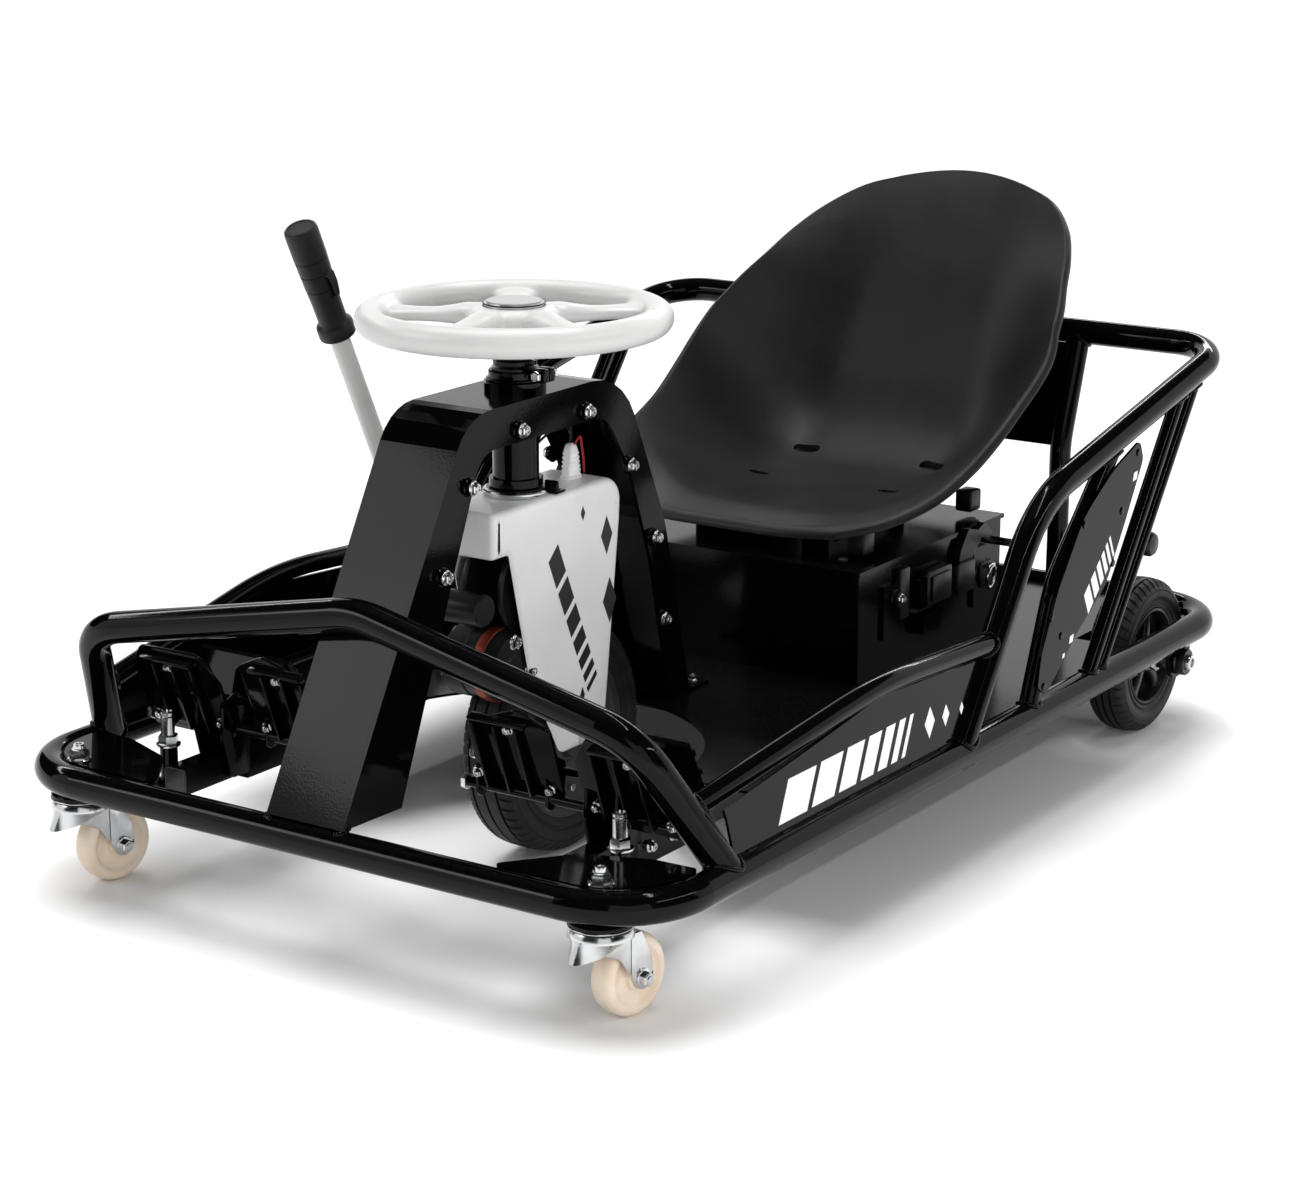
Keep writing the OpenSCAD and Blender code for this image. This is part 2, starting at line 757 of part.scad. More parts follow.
// Swivelling caster fork with its folded cheeks, nose and axle bolt
module caster_fork(swing, side) {
  cheek = rounded([
    [-30, caster_crown - 14, 3], [30, caster_crown - 14, 3], [caster_trail + 13, caster_d / 2, 12],
    [caster_trail + 4, caster_d / 2 - 12, 10], [caster_trail - 10, caster_d / 2 - 6, 10],
    [4, caster_crown - 30, 14]
  ]);
  translate([side * caster_x, caster_y, 0]) rotate([0, 0, -swing]) {
    difference() {
      union() {
        translate([0, 0, caster_crown - 12]) cylinder(d = 62, h = 12);
        translate([-17.5, -29, caster_crown - 14]) cube([35, 58, 4]);
        for (k = [-1, 1]) upright(k * (caster_w / 2 + 4.5), 3, reversed(cheek));
      }
      translate([0, 0, 30]) cylinder(d = stud_d + 2 * fit, h = 80);
    }
    translate([0, caster_trail, caster_d / 2]) rotate([0, 90, 0]) {
      translate([0, 0, -caster_w / 2 - 12]) cylinder(d = caster_axle, h = caster_w + 24);
      translate([0, 0, caster_w / 2 + 6]) hex_head(13, 7);
      translate([0, 0, -caster_w / 2 - 13]) hex_head(13, 7);
    }
  }
}

// Nylon caster wheel with a hub and a bore
module caster_wheel(swing, side) {
  r = caster_d / 2;
  w = caster_w / 2;
  section = rounded([
    [r, -w + 3, 8], [r, w - 3, 8], [r - 9, w - 1, 2], [r - 13, w - 6, 3], [15, w - 5, 2], [13, w + 2, 1],
    [caster_axle / 2 + fit, w + 2, 0], [caster_axle / 2 + fit, -w - 2, 0], [13, -w - 2, 1],
    [15, -w + 5, 2], [r - 13, -w + 6, 3], [r - 9, -w + 1, 2]
  ]);
  translate([side * caster_x, caster_y, 0]) rotate([0, 0, -swing])
    translate([0, caster_trail, r]) rotate([0, 90, 0])
      rotate_extrude($fn = 64) polygon(section);
}

module caster_fork_left() {
  color("gainsboro") placed() caster_fork(left_swing, 1);
}

module caster_fork_right() {
  color("gainsboro") placed() caster_fork(right_swing, -1);
}

module caster_wheel_left() {
  color("moccasin") placed() caster_wheel(left_swing, 1);
}

module caster_wheel_right() {
  color("moccasin") placed() caster_wheel(right_swing, -1);
}

// Lever line, from its pivot up to the grip's end
lever_x = -330;
lever_foot = [lever_x, 624, 176];
lever_tip = [lever_x, 404, 640];
lever_way = unit(lever_tip - lever_foot);
pivot_d = 12;

// Pivot bracket of the lever, on the floor beside the rail
module lever_clamp() {
  color("darkslategray") placed() difference() {
    union() {
      translate([lever_x - 30, lever_foot.y - 30, floor_top + weld]) cube([60, 60, 5]);
      for (k = [-1, 1])
        upright(lever_x + k * 18, 5, [
          [lever_foot.y - 24, floor_top + 3], [lever_foot.y + 24, floor_top + 3],
          [lever_foot.y + 14, lever_foot.z + 16], [lever_foot.y - 14, lever_foot.z + 16]
        ]);
    }
    translate(lever_foot) rotate([0, 90, 0]) cylinder(d = pivot_d + 2 * fit, h = 80, center = true);
  }
}

// Lever tube with its pivot pin
module lever_tube() {
  color("white") placed() {
    bar(lever_foot, lever_tip - lever_way * (grip_len + weld), lever_d);
    translate(lever_foot) rotate([0, 90, 0]) {
      cylinder(d = pivot_d, h = 60, center = true);
      cylinder(d = 26, h = 28, center = true);
      for (k = [-1, 1]) translate([0, 0, k > 0 ? 24 : -30]) hex_head(17, 6);
    }
  }
}

module lever_grip() {
  color("#222222") placed()
    translate(lever_tip - lever_way * grip_len)
      rotate([0, acos(lever_way.z), atan2(lever_way.y, lever_way.x)])
        rotate_extrude() polygon(rounded([
          [0, 0, 0], [grip_d / 2 + 1.5, 0, 1], [grip_d / 2 + 1.5, 16, 1], [grip_d / 2 - 2, 18, 1],
          [grip_d / 2 - 1, 60, 40], [grip_d / 2, grip_len - 40, 60], [grip_d / 2, grip_len, 5],
          [0, grip_len, 0]
        ]));
}

hub_r = 44;

// Turning stem with the crown that carries the fork
module stem() {
  color("silver") placed() translate([0, steer_y, 0]) {
    translate([0, 0, fork_top + weld]) cylinder(d = head_d + 14, h = 8);
    translate([0, 0, fork_top + 4]) cylinder(d = stem_d, h = wheel_z - 22 - fork_top - 4);
    translate([0, 0, column_top + 24]) cylinder(d = stem_d + 8, h = 12);
    translate([0, 0, wheel_z - 26]) cylinder(d1 = stem_d + 4, d2 = 78, h = 10 - weld);
  }
}

// Moulded steering wheel: round rim, five lobed spokes, hub
module steering_wheel() {
  color("white") placed() translate([0, steer_y, wheel_z]) {
    rotate_extrude($fn = 96) translate([(wheel_d - rim_d) / 2, 0]) circle(d = rim_d);
    difference() {
      translate([0, 0, -16]) cylinder(r = hub_r + 4, h = 30);
      for (k = [0:4]) rotate([0, 0, 72 * k + 36 - 90])
        translate([hub_r + 6, 0, 0]) cylinder(d = 30, h = 60, center = true);
      translate([0, 0, 9]) cylinder(d = 62 + 2 * weld, h = 20);
      translate([0, 0, -20]) cylinder(d = 20, h = 3);
    }
    for (k = [0:4]) rotate([0, 0, 72 * k - 90]) {
      translate([0, 0, -7]) linear_extrude(17)
        polygon(rounded([
          [hub_r - 12, -19, 0], [hub_r + 34, -15, 30], [wheel_d / 2 - rim_d + 6, -27, 8],
          [wheel_d / 2 - rim_d + 6, 27, 8], [hub_r + 34, 15, 30], [hub_r - 12, 19, 0]
        ]));
    }
  }
}

module wheel_cap() {
  color("silver") placed() translate([0, steer_y, wheel_z + 9 + weld]) {
    cylinder(d = 62, h = 7);
    cylinder(d = 56, h = 9);
  }
}

// Fork outline: [behind the front rail, height, corner radius]
fork_outline = [
  [252, fork_top, 6], [480, fork_top, 26], [477, 352, 40], [446, 118, 16],
  [366, 118, 16], [313, 215, 80], [280, 352, 0], [252, 352, 2]
];

// Moulded fork: two cheeks with a closed top and skirt
module fork() {
  inner = [
    [252 + fork_t, fork_top - fork_t, 4], [480 - fork_t, fork_top - fork_t, 20],
    [475 - fork_t, 300, 20], [500, 262, 0], [500, 60, 0], [240, 60, 0], [240, 340, 0],
    [252 + fork_t, 340, 0]
  ];
  color("white") placed() difference() {
    upright(0, 2 * fork_half, reversed(rounded(fork_outline)));
    upright(0, 2 * (fork_half - fork_t), reversed(rounded(inner)));
    translate([0, drive_y, drive_r]) rotate([0, 90, 0])
      cylinder(d = 14 + 2 * weld, h = 200, center = true);
    translate([0, steer_y, fork_top - 20]) cylinder(d = 16 + 2 * weld, h = 40);
  }
}

// Fixed axle of the drive wheel, clamped in the fork's cheeks
module drive_axle() {
  color("silver") placed() {
    translate([0, drive_y, drive_r]) rotate([0, 90, 0]) {
      cylinder(d = 14, h = 2 * fork_half + 16, center = true);
      for (k = [-1, 1]) translate([0, 0, k > 0 ? fork_half + weld : -fork_half - weld - 7])
        hex_head(20, 7);
    }
    translate([0, steer_y, fork_top - fork_t - 10]) {
      translate([0, 0, 0]) cylinder(d = 16, h = fork_t + 10);
      hex_head(24, 10 - weld);
    }
  }
}

module drive_tyre() {
  w = drive_w / 2;
  section = rounded([
    [drive_r, -w + 8, 14], [drive_r, w - 8, 14], [drive_r - 22, w, 14], [drive_r - 38, w - 6, 4],
    [drive_r - 38, -w + 6, 4], [drive_r - 22, -w, 14]
  ]);
  color("#1a1a1a") placed() translate([0, drive_y, drive_r]) rotate([0, 90, 0])
    rotate_extrude($fn = 96) polygon(section);
}

// Hub motor that fills the drive tyre
module drive_hub() {
  r = drive_r - 38 - weld;
  w = drive_w / 2 - 7;
  section = rounded([
    [7 + fit, -drive_w / 2 - 3, 0], [22, -drive_w / 2 - 3, 2], [24, -w + 2, 6], [r - 14, -w, 4],
    [r - 10, -w - 3, 2], [r, -w - 3, 0], [r, w + 3, 0], [r - 10, w + 3, 2], [r - 14, w, 4],
    [24, w - 2, 6], [22, drive_w / 2 + 3, 2], [7 + fit, drive_w / 2 + 3, 0]
  ]);
  color("silver") placed() translate([0, drive_y, drive_r]) rotate([0, 90, 0])
    rotate_extrude($fn = 96) polygon(section);
}

rim_r = rear_r - 34;

// Rear tyre with three rain grooves
module rear_tyre(side) {
  w = rear_w / 2;
  section = rounded([
    [rear_r - 3, -w + 4, 8], [rear_r, -w + 16, 20], [rear_r, w - 16, 20], [rear_r - 3, w - 4, 8],
    [rear_r - 20, w, 12], [rim_r, w - 6, 3], [rim_r, -w + 6, 3], [rear_r - 20, -w, 12]
  ]);
  translate([side * rear_x, axle_y, axle_z]) rotate([0, 90, 0]) difference() {
    rotate_extrude($fn = 96) polygon(section);
    for (z = [-9, 0, 9]) translate([0, 0, z])
      rotate_extrude($fn = 96) translate([rear_r - 3.5, -1.2]) square([6, 2.4]);
  }
}

// Five-spoke rear rim
module rear_rim(side) {
  w = rear_w / 2;
  r = rim_r - weld;
  translate([side * rear_x, axle_y, axle_z]) rotate([0, side * 90, 0]) difference() {
    union() {
      difference() {
        translate([0, 0, -w + 6]) cylinder(r = r, h = rear_w - 12, $fn = 96);
        translate([0, 0, -w]) cylinder(r = r - 5, h = rear_w, $fn = 96);
      }
      for (k = [0:4]) rotate([0, 0, 72 * k])
        translate([12, -8, -6]) cube([r - 14, 16, 14]);
      translate([0, 0, -rear_w / 2 + 2]) cylinder(r = 20, h = rear_w - 4);
    }
    cylinder(d = axle_d + 2 * fit, h = 2 * rear_w, center = true);
  }
}

module rear_tyre_left() {
  color("#1a1a1a") placed() rear_tyre(1);
}

module rear_rim_left() {
  color("#333333") placed() rear_rim(1);
}

module rear_tyre_right() {
  color("#1a1a1a") placed() rear_tyre(-1);
}

module rear_rim_right() {
  color("#333333") placed() rear_rim(-1);
}

base_loop();
guard_hoop();
seat_guard();
struts();
side_tubes();
side_panels();
leaf_panels();
back_posts();
back_plate();
floor_panel();
cross_members();
corner_plates();
foot_rails();
foot_rests();
column_shell();
column_sides();
steering_head();
battery_box();
box_fittings();
seat_runners();
seat();
axle_brackets();
rear_axles();
caster_heads();
lever_clamp();
stem();
steering_wheel();
wheel_cap();
fork();
drive_axle();
drive_tyre();
drive_hub();
caster_fork_left();
caster_fork_right();
caster_wheel_left();
caster_wheel_right();
rear_tyre_left();
rear_rim_left();
rear_tyre_right();
rear_rim_right();
lever_tube();
lever_grip();
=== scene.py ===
# Drift go-kart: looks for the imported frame.
# Lengths are metres in the frame's own axes; table rows in millimetres go through at().
import math

import bmesh
import bpy
from mathutils import Matrix, Vector


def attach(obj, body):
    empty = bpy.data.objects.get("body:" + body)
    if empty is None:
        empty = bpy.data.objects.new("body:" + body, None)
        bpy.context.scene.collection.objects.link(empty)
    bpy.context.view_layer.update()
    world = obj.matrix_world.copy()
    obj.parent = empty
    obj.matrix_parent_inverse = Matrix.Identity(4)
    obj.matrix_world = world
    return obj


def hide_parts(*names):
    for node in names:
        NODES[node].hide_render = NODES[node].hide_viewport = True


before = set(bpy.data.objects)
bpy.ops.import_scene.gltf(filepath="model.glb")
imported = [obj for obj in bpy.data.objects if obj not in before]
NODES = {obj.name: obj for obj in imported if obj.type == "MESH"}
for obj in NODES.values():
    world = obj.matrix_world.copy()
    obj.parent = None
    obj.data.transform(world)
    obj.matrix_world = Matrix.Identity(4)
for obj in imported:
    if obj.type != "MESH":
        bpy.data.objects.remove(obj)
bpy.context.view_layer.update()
MM = 0.001
MID = 649.7  # middle of the model behind the front rail
RAIL_X, RAIL_Z, RAIL_R = 393, 124, 16.85
HOOP_R, BACK_R, SIDE_R, STRUT_R = 15, 13, 11, 8.5
STEER_Y = 346
WHEEL_Z = 583
DRIVE_Y, DRIVE_R = 405, 127
AXLE_Y, REAR_R = 1130, 93
CASTER_X, CASTER_Y = 326, 28


def at(x, y, z):
    """A point given as millimetres from the centre plane, the front rail and the floor."""
    return Vector((x * MM, (y - MID) * MM, z * MM))


def linked(name, data):
    """A new object of that mesh, lamp or camera."""
    thing = bpy.data.objects.new(name, data)
    bpy.context.collection.objects.link(thing)
    return thing


# Camera, floor and light
def look(thing, place, target):
    thing.location = place
    thing.rotation_mode = "QUATERNION"
    thing.rotation_quaternion = (Vector(target) - Vector(place)).to_track_quat("-Z", "Y")


camera = linked("camera", bpy.data.cameras.new("camera"))
camera.data.lens = 85.98
camera.data.sensor_width = 36
look(camera, (1.8705, -2.8304, 1.1446), (-0.0338, 0.0036, 0.2106))
bpy.context.scene.camera = camera
bpy.context.scene.view_settings.view_transform = "Standard"


def softbox(name, place, target, width, height, watts):
    data = bpy.data.lights.new(name, "AREA")
    data.shape = "RECTANGLE"
    data.size = width
    data.size_y = height
    data.energy = watts
    lamp = linked(name, data)
    look(lamp, place, target)
    return lamp


softbox("overhead", (0.3, 0.5, 3.0), (0, 0.1, 0.2), 2.4, 0.10, 15)
softbox("front", (-1.95, -2.6, 1.95), (0, -0.5, 0.3), 1.3, 0.7, 14)
softbox("left_strip", (2.9, 0.2, 2.3), (0.2, 0.1, 0.3), 2.6, 0.06, 15)
softbox("right_strip", (-2.9, 0.0, 2.2), (0, 0.0, 0.3), 2.6, 0.10, 12)
softbox("behind", (-0.6, 3.2, 2.2), (0, 0.2, 0.3), 2.2, 0.12, 14)
softbox("side_fill", (3.0, -1.5, 0.85), (0.0, -0.3, 0.35), 1.6, 0.9, 32).visible_glossy = False

sun = linked("sky", bpy.data.lights.new("sky", "SUN"))
sun.data.energy = 2.5
sun.data.angle = 0.85
look(sun, (-0.75, 0.45, 3.0), (0, 0, 0))


# Shader sockets
class Sock:
    """A socket in a material's tree. Arithmetic on it adds Math nodes."""

    def __init__(self, tree, out=None):
        self.tree = tree
        self.out = out

    def node(self, kind, settings=None, out=0, **sockets):
        """Adds a node; its sockets are given by name or as i0, i1 and so on."""
        made = self.tree.nodes.new("ShaderNode" + kind)
        for key, value in (settings or {}).items():
            setattr(made, key, value)
        for key, value in sockets.items():
            goal = made.inputs[int(key[1:])] if key[1:].isdigit() else made.inputs[key.replace("_", " ")]
            if isinstance(value, Sock):
                self.tree.links.new(value.out, goal)
            else:
                goal.default_value = (*value, 1)[:4] if goal.type == "RGBA" else value
        return Sock(self.tree, made.outputs[out])

    def maths(self, operation, other=0.0):
        return self.node("Math", {"operation": operation}, i0=self, i1=other)

    def __add__(self, other):
        return self.maths("ADD", other)

    def __mul__(self, other):
        return self.maths("MULTIPLY", other)

    def __pow__(self, other):
        return self.maths("POWER", other)

    def band(self, low, high):
        """0 below low, 1 above high, smooth between; reversed when low is above high."""
        return self.node("MapRange", {"interpolation_type": "SMOOTHSTEP"}, Value=self,
                         i1=low, i2=high, i3=0.0, i4=1.0)

    def mix(self, first, second):
        """Colour first where the mask is 0, second where it is 1."""
        return self.node("Mix", {"data_type": "RGBA"}, 2, i0=self, i6=first, i7=second)

    def noise(self, scale, detail=3.0):
        where = self.node("TexCoord", out=3)
        return self.node("TexNoise", {}, 0, Vector=where, Scale=scale, Detail=detail, Roughness=0.5)

    def cells(self, scale):
        where = self.node("TexCoord", out=3)
        return self.node("TexVoronoi", {"feature": "F1"}, 0, Vector=where, Scale=scale)

    def place(self, axis):
        where = self.node("TexCoord", out=3)
        return where.node("SeparateXYZ", {}, axis, Vector=where)

    def facing_up(self):
        normal = self.node("NewGeometry", out=1)
        return normal.node("SeparateXYZ", {}, 2, Vector=normal)

    def bump(self, strength, depth):
        return self.node("Bump", {}, 0, Height=self, Strength=strength, Distance=depth)


def surface(owner, kind, shader, paint):
    """Gives a material or the world one shader, whose sockets paint(t) returns."""
    owner.use_nodes = True
    owner.node_tree.nodes.clear()
    t = Sock(owner.node_tree)
    made = t.node(shader, {}, 0, **paint(t))
    end = owner.node_tree.nodes.new("ShaderNodeOutput" + kind)
    owner.node_tree.links.new(made.out, end.inputs["Surface"])
    return owner


def finish_of(name, paint):
    return surface(bpy.data.materials.new(name), "Material", "BsdfPrincipled", paint)


# Finishes
def gloss_coat(tone, rough, peel, dust=0.05, spec=0.15):
    """Black powder coat: orange peel, faint dust on upper faces, hazy patches."""
    def paint(t):
        haze = t.noise(9.0, 4.0)
        specks = t.noise(1400.0, 2.0).band(0.68, 0.76)
        settled = t.facing_up().band(0.5, 1.0) * t.noise(260.0, 4.0).band(0.5, 0.9)
        grime = settled * dust + specks * 0.03
        wavy = t.noise(420.0, 2.0) + t.noise(60.0, 1.0) * 0.7
        return {
            "Base_Color": grime.mix((tone, tone, tone * 1.02), (0.12, 0.12, 0.115)),
            "Roughness": haze * 0.05 + settled * 0.04 + rough,
            "Specular_IOR_Level": spec,
            "Normal": wavy.bump(peel, 0.0006),
        }
    return paint


def moulded(tone, rough, grain, depth, speck=0.0, spec=0.5):
    """Moulded plastic or rubber with a fine even grain and soft cloudy variation."""
    def paint(t):
        cloud = t.noise(14.0, 4.0)
        pores = t.cells(grain)
        shade = cloud.band(0.3, 0.7) * 0.5 + pores * speck
        lighter = tuple(min(1.0, c * 1.12 + 0.004) for c in tone)
        return {
            "Base_Color": shade.mix(tone, lighter),
            "Roughness": cloud * 0.1 + rough,
            "Specular_IOR_Level": spec,
            "Normal": (pores + t.noise(grain * 0.35, 2.0) * 0.6).bump(0.35, depth),
        }
    return paint


def zinc_plate(t):
    patches = t.cells(160.0)
    streaks = t.noise(60.0, 5.0)
    stain = t.noise(22.0, 4.0).band(0.5, 0.72)
    return {
        "Base_Color": stain.mix((0.60, 0.61, 0.62), (0.46, 0.45, 0.42)),
        "Metallic": 1.0,
        "Roughness": patches * 0.08 + streaks * 0.10 + 0.09,
        "Normal": (patches * 0.4 + t.noise(700.0, 2.0)).bump(0.12, 0.0003),
    }


def spun_silver(t):
    """Satin cap turned on a lathe: fine rings round the steering axis."""
    x = t.place(0)
    y = t.place(1) + (MID - STEER_Y) * MM
    radius = (x * x + y * y) ** 0.5
    rings = (radius * 9000.0).maths("SINE")
    return {
        "Base_Color": t.noise(30.0).mix((0.60, 0.60, 0.60), (0.70, 0.70, 0.69)),
        "Metallic": 1.0,
        "Roughness": t.noise(50.0) * 0.12 + 0.24,
        "Normal": rings.bump(0.08, 0.0002),
    }


def cream_nylon(t):
    cloud = t.noise(26.0, 5.0)
    scuffs = t.noise(240.0, 3.0).band(0.6, 0.74)
    return {
        "Base_Color": (cloud.band(0.35, 0.7)).mix((0.78, 0.62, 0.47), (0.87, 0.75, 0.62)),
        "Roughness": cloud * 0.12 + scuffs * 0.15 + 0.30,
        "Subsurface_Weight": 0.12,
        "Subsurface_Radius": (0.006, 0.004, 0.003),
        "Normal": (t.noise(500.0) + scuffs * 0.3).bump(0.12, 0.0003),
    }


def road_rubber(t):
    dust = t.noise(55.0, 5.0).band(0.45, 0.8)
    pores = t.noise(900.0, 3.0)
    return {
        "Base_Color": (dust * 0.45).mix((0.005, 0.005, 0.005), (0.022, 0.021, 0.020)),
        "Roughness": dust * 0.2 + 0.52,
        "Specular_IOR_Level": 0.3,
        "Normal": (pores + t.cells(300.0) * 0.5).bump(0.3, 0.0005),
    }


def cast_metal(tone, rough):
    def paint(t):
        cloud = t.noise(40.0, 5.0)
        return {
            "Base_Color": cloud.mix(tone, tuple(c * 1.5 for c in tone)),
            "Metallic": 0.8,
            "Roughness": cloud * 0.2 + rough,
            "Normal": (t.noise(600.0, 3.0)).bump(0.25, 0.0004),
        }
    return paint


PAINTS = {
    "frame_black": gloss_coat(0.0014, 0.055, 0.05),
    "sheet_black": gloss_coat(0.0014, 0.06, 0.05, 0.05, 0.10),
    "floor_black": gloss_coat(0.0022, 0.13, 0.12, 0.08),
    "box_black": gloss_coat(0.0018, 0.08, 0.06, 0.06, 0.12),
    "seat_black": moulded((0.0045, 0.0045, 0.0047), 0.36, 1100.0, 0.00030, 0.1, 0.30),
    "moulded_white": moulded((0.80, 0.80, 0.795), 0.24, 900.0, 0.00012, 0.15),
    "zinc": zinc_plate,
    "cap_silver": spun_silver,
    "nylon_cream": cream_nylon,
    "tyre_black": road_rubber,
    "rim_black": moulded((0.004, 0.004, 0.0042), 0.26, 800.0, 0.0003, 0.1, 0.25),
    "motor_grey": cast_metal((0.05, 0.05, 0.052), 0.35),
    # painted shade: the same white moulding as moulded_white, made darker so the strongly lit steering wheel
    # stays below white
    "wheel_white": moulded((0.60, 0.60, 0.595), 0.24, 900.0, 0.00012, 0.15),
    "lever_white": moulded((0.66, 0.66, 0.65), 0.22, 700.0, 0.0001),
    "grip_black": moulded((0.004, 0.004, 0.004), 0.38, 1500.0, 0.0003, 0.1, 0.3),
    "print_white": moulded((0.82, 0.82, 0.81), 0.30, 600.0, 0.0001),
    "print_black": moulded((0.008, 0.008, 0.008), 0.30, 600.0, 0.0001),
    "copper": cast_metal((0.20, 0.035, 0.018), 0.30),
    "red_lead": moulded((0.35, 0.02, 0.015), 0.35, 600.0, 0.0001),
}
FINISHES = {name: finish_of(name, paint) for name, paint in PAINTS.items()}


def card(name, half, tone, lighter, scale, place=(0, 0, 0), turn=(0, 0, 0)):
    """A flat square of the studio, matt, cloudy between two greys."""
    mesh = bpy.data.meshes.new(name)
    corners = [(-half, -half, 0), (half, -half, 0), (half, half, 0), (-half, half, 0)]
    mesh.from_pydata(corners, [], [(0, 1, 2, 3)])
    thing = linked(name, mesh)
    thing.location = place
    thing.rotation_euler = turn
    mesh.materials.append(surface(
        bpy.data.materials.new(name), "Material", "BsdfDiffuse",
        lambda t: {"Color": t.noise(scale, 2.0).mix((tone,) * 3, (lighter,) * 3)}))
    return thing


def flag(name, place, turn, half):
    """A black card that only reflections meet, as a photographer hangs one over glossy paint."""
    thing = card(name, half, 0.004, 0.008, 2.0, place, turn)
    for sight in ("visible_camera", "visible_diffuse", "visible_transmission", "visible_shadow"):
        setattr(thing, sight, False)


def daylight(t):
    """White to the camera, to reflections and through glass; dimmer as a light."""
    camera_ray, glossy_ray, clear_ray = 0, 3, 6
    seen = t.node("LightPath", out=camera_ray) + t.node("LightPath", out=glossy_ray)
    shown = (seen + t.node("LightPath", out=clear_ray)).maths("MINIMUM", 1.0)
    return {"Color": (1, 1, 1), "Strength": shown * 0.70 + 0.30}


UPRIGHT = math.pi / 2
card("floor", 30, 0.95, 0.97, 0.4)
flag("top_flag", (0, 0, 4.2), (0, 0, 0), 5.2)
flag("front_flag", (0, -6.5, 3.6), (UPRIGHT, 0, 0), 3.1)
flag("left_flag", (6.5, 0, 3.8), (0, UPRIGHT, 0), 3.1)
flag("right_flag", (-6.5, 0, 4.0), (0, UPRIGHT, 0), 3.1)
bpy.context.scene.world = surface(bpy.data.worlds.new("studio"), "World", "Background", daylight)


# Shapes
X, Y, Z = Vector((1, 0, 0)), Vector((0, 1, 0)), Vector((0, 0, 1))
SIDE_ON = Matrix(((0, 0, 1, 0), (1, 0, 0, 0), (0, 1, 0, 0), (0, 0, 0, 1)))  # (y, z, x) to (x, y, z)


def turns(n):
    """n even angles round a circle."""
    return [2 * math.pi * k / n for k in range(n)]


def squashed(centre, across, over, half, thick, power=0.75, n=20):
    """A rounded cross-section: half along across, thick along over."""
    return [centre + across * half * math.copysign(abs(math.cos(t)) ** power, math.cos(t))
            + over * thick * math.copysign(abs(math.sin(t)) ** power, math.sin(t)) for t in turns(n)]


def mirrored(profile):
    """Profile rows (radius, height) up to the middle, then their mirror image."""
    return profile + [(r, -h) for r, h in profile[::-1] if h]


def stand(origin, z, x=None):
    """The place of a small part: its own z axis along z, its x axis near x."""
    z = Vector(z).normalized()
    x = Vector(x) if x is not None else (Z if abs(z.z) < 0.9 else X)
    y = z.cross(x).normalized()
    return Matrix.Translation(Vector(origin)) @ Matrix((y.cross(z), y, z)).transposed().to_4x4()


def ring(r, m, n=48):
    """n points round m's z axis."""
    return [m @ Vector((r * math.cos(a), r * math.sin(a), 0)) for a in turns(n)]


def spline(points, steps):
    """Smooth points through the given ones (Catmull-Rom), steps per stretch."""
    points = [Vector(p) for p in points]
    ends = [points[0] * 2 - points[1]] + points + [points[-1] * 2 - points[-2]]
    out = []
    for a, b, c, d in zip(ends, ends[1:], ends[2:], ends[3:]):
        for k in range(steps):
            t = k / steps
            out.append(0.5 * (2 * b + (c - a) * t + (2 * a - 5 * b + 4 * c - d) * t * t
                              + (3 * b - a - 3 * c + d) * t ** 3))
    return out + [points[-1]]


def rounded(rows, step=14):
    """A flat outline from rows [x, y, corner radius]."""
    out = []
    for k, (x, y, r) in enumerate(rows):
        p, a, b = Vector((x, y)), Vector(rows[k - 1][:2]), Vector(rows[(k + 1) % len(rows)][:2])
        a, b = (p - a).normalized(), (b - p).normalized()
        angle = math.acos(max(-1, min(1, a.dot(b))))
        if r <= 0 or angle < 0.02:
            out.append(p)
            continue
        side = 1 if a.x * b.y - a.y * b.x > 0 else -1
        centre = p - a * r * math.tan(angle / 2) + side * r * Vector((-a.y, a.x))
        n = max(2, round(math.degrees(angle) / step))
        for q in range(n + 1):
            w = side * angle * q / n
            out.append(centre + side * r * Vector((a.y * math.cos(w) + a.x * math.sin(w),
                                                   -a.x * math.cos(w) + a.y * math.sin(w))))
    return out


def inset(outline, d):
    """The outline moved inwards by d; it runs anticlockwise."""
    out = []
    for k, p in enumerate(outline):
        a = (p - outline[k - 1]).normalized()
        b = (outline[(k + 1) % len(outline)] - p).normalized()
        m = a + b
        m = m.normalized() if m.length > 1e-6 else a
        out.append(p + Vector((-m.y, m.x)) * d / max(0.4, m.dot(a)))
    return out


def anticlockwise(outline):
    area = sum(a.x * b.y - a.y * b.x for a, b in zip(outline, outline[1:] + outline[:1]))
    return outline if area > 0 else outline[::-1]


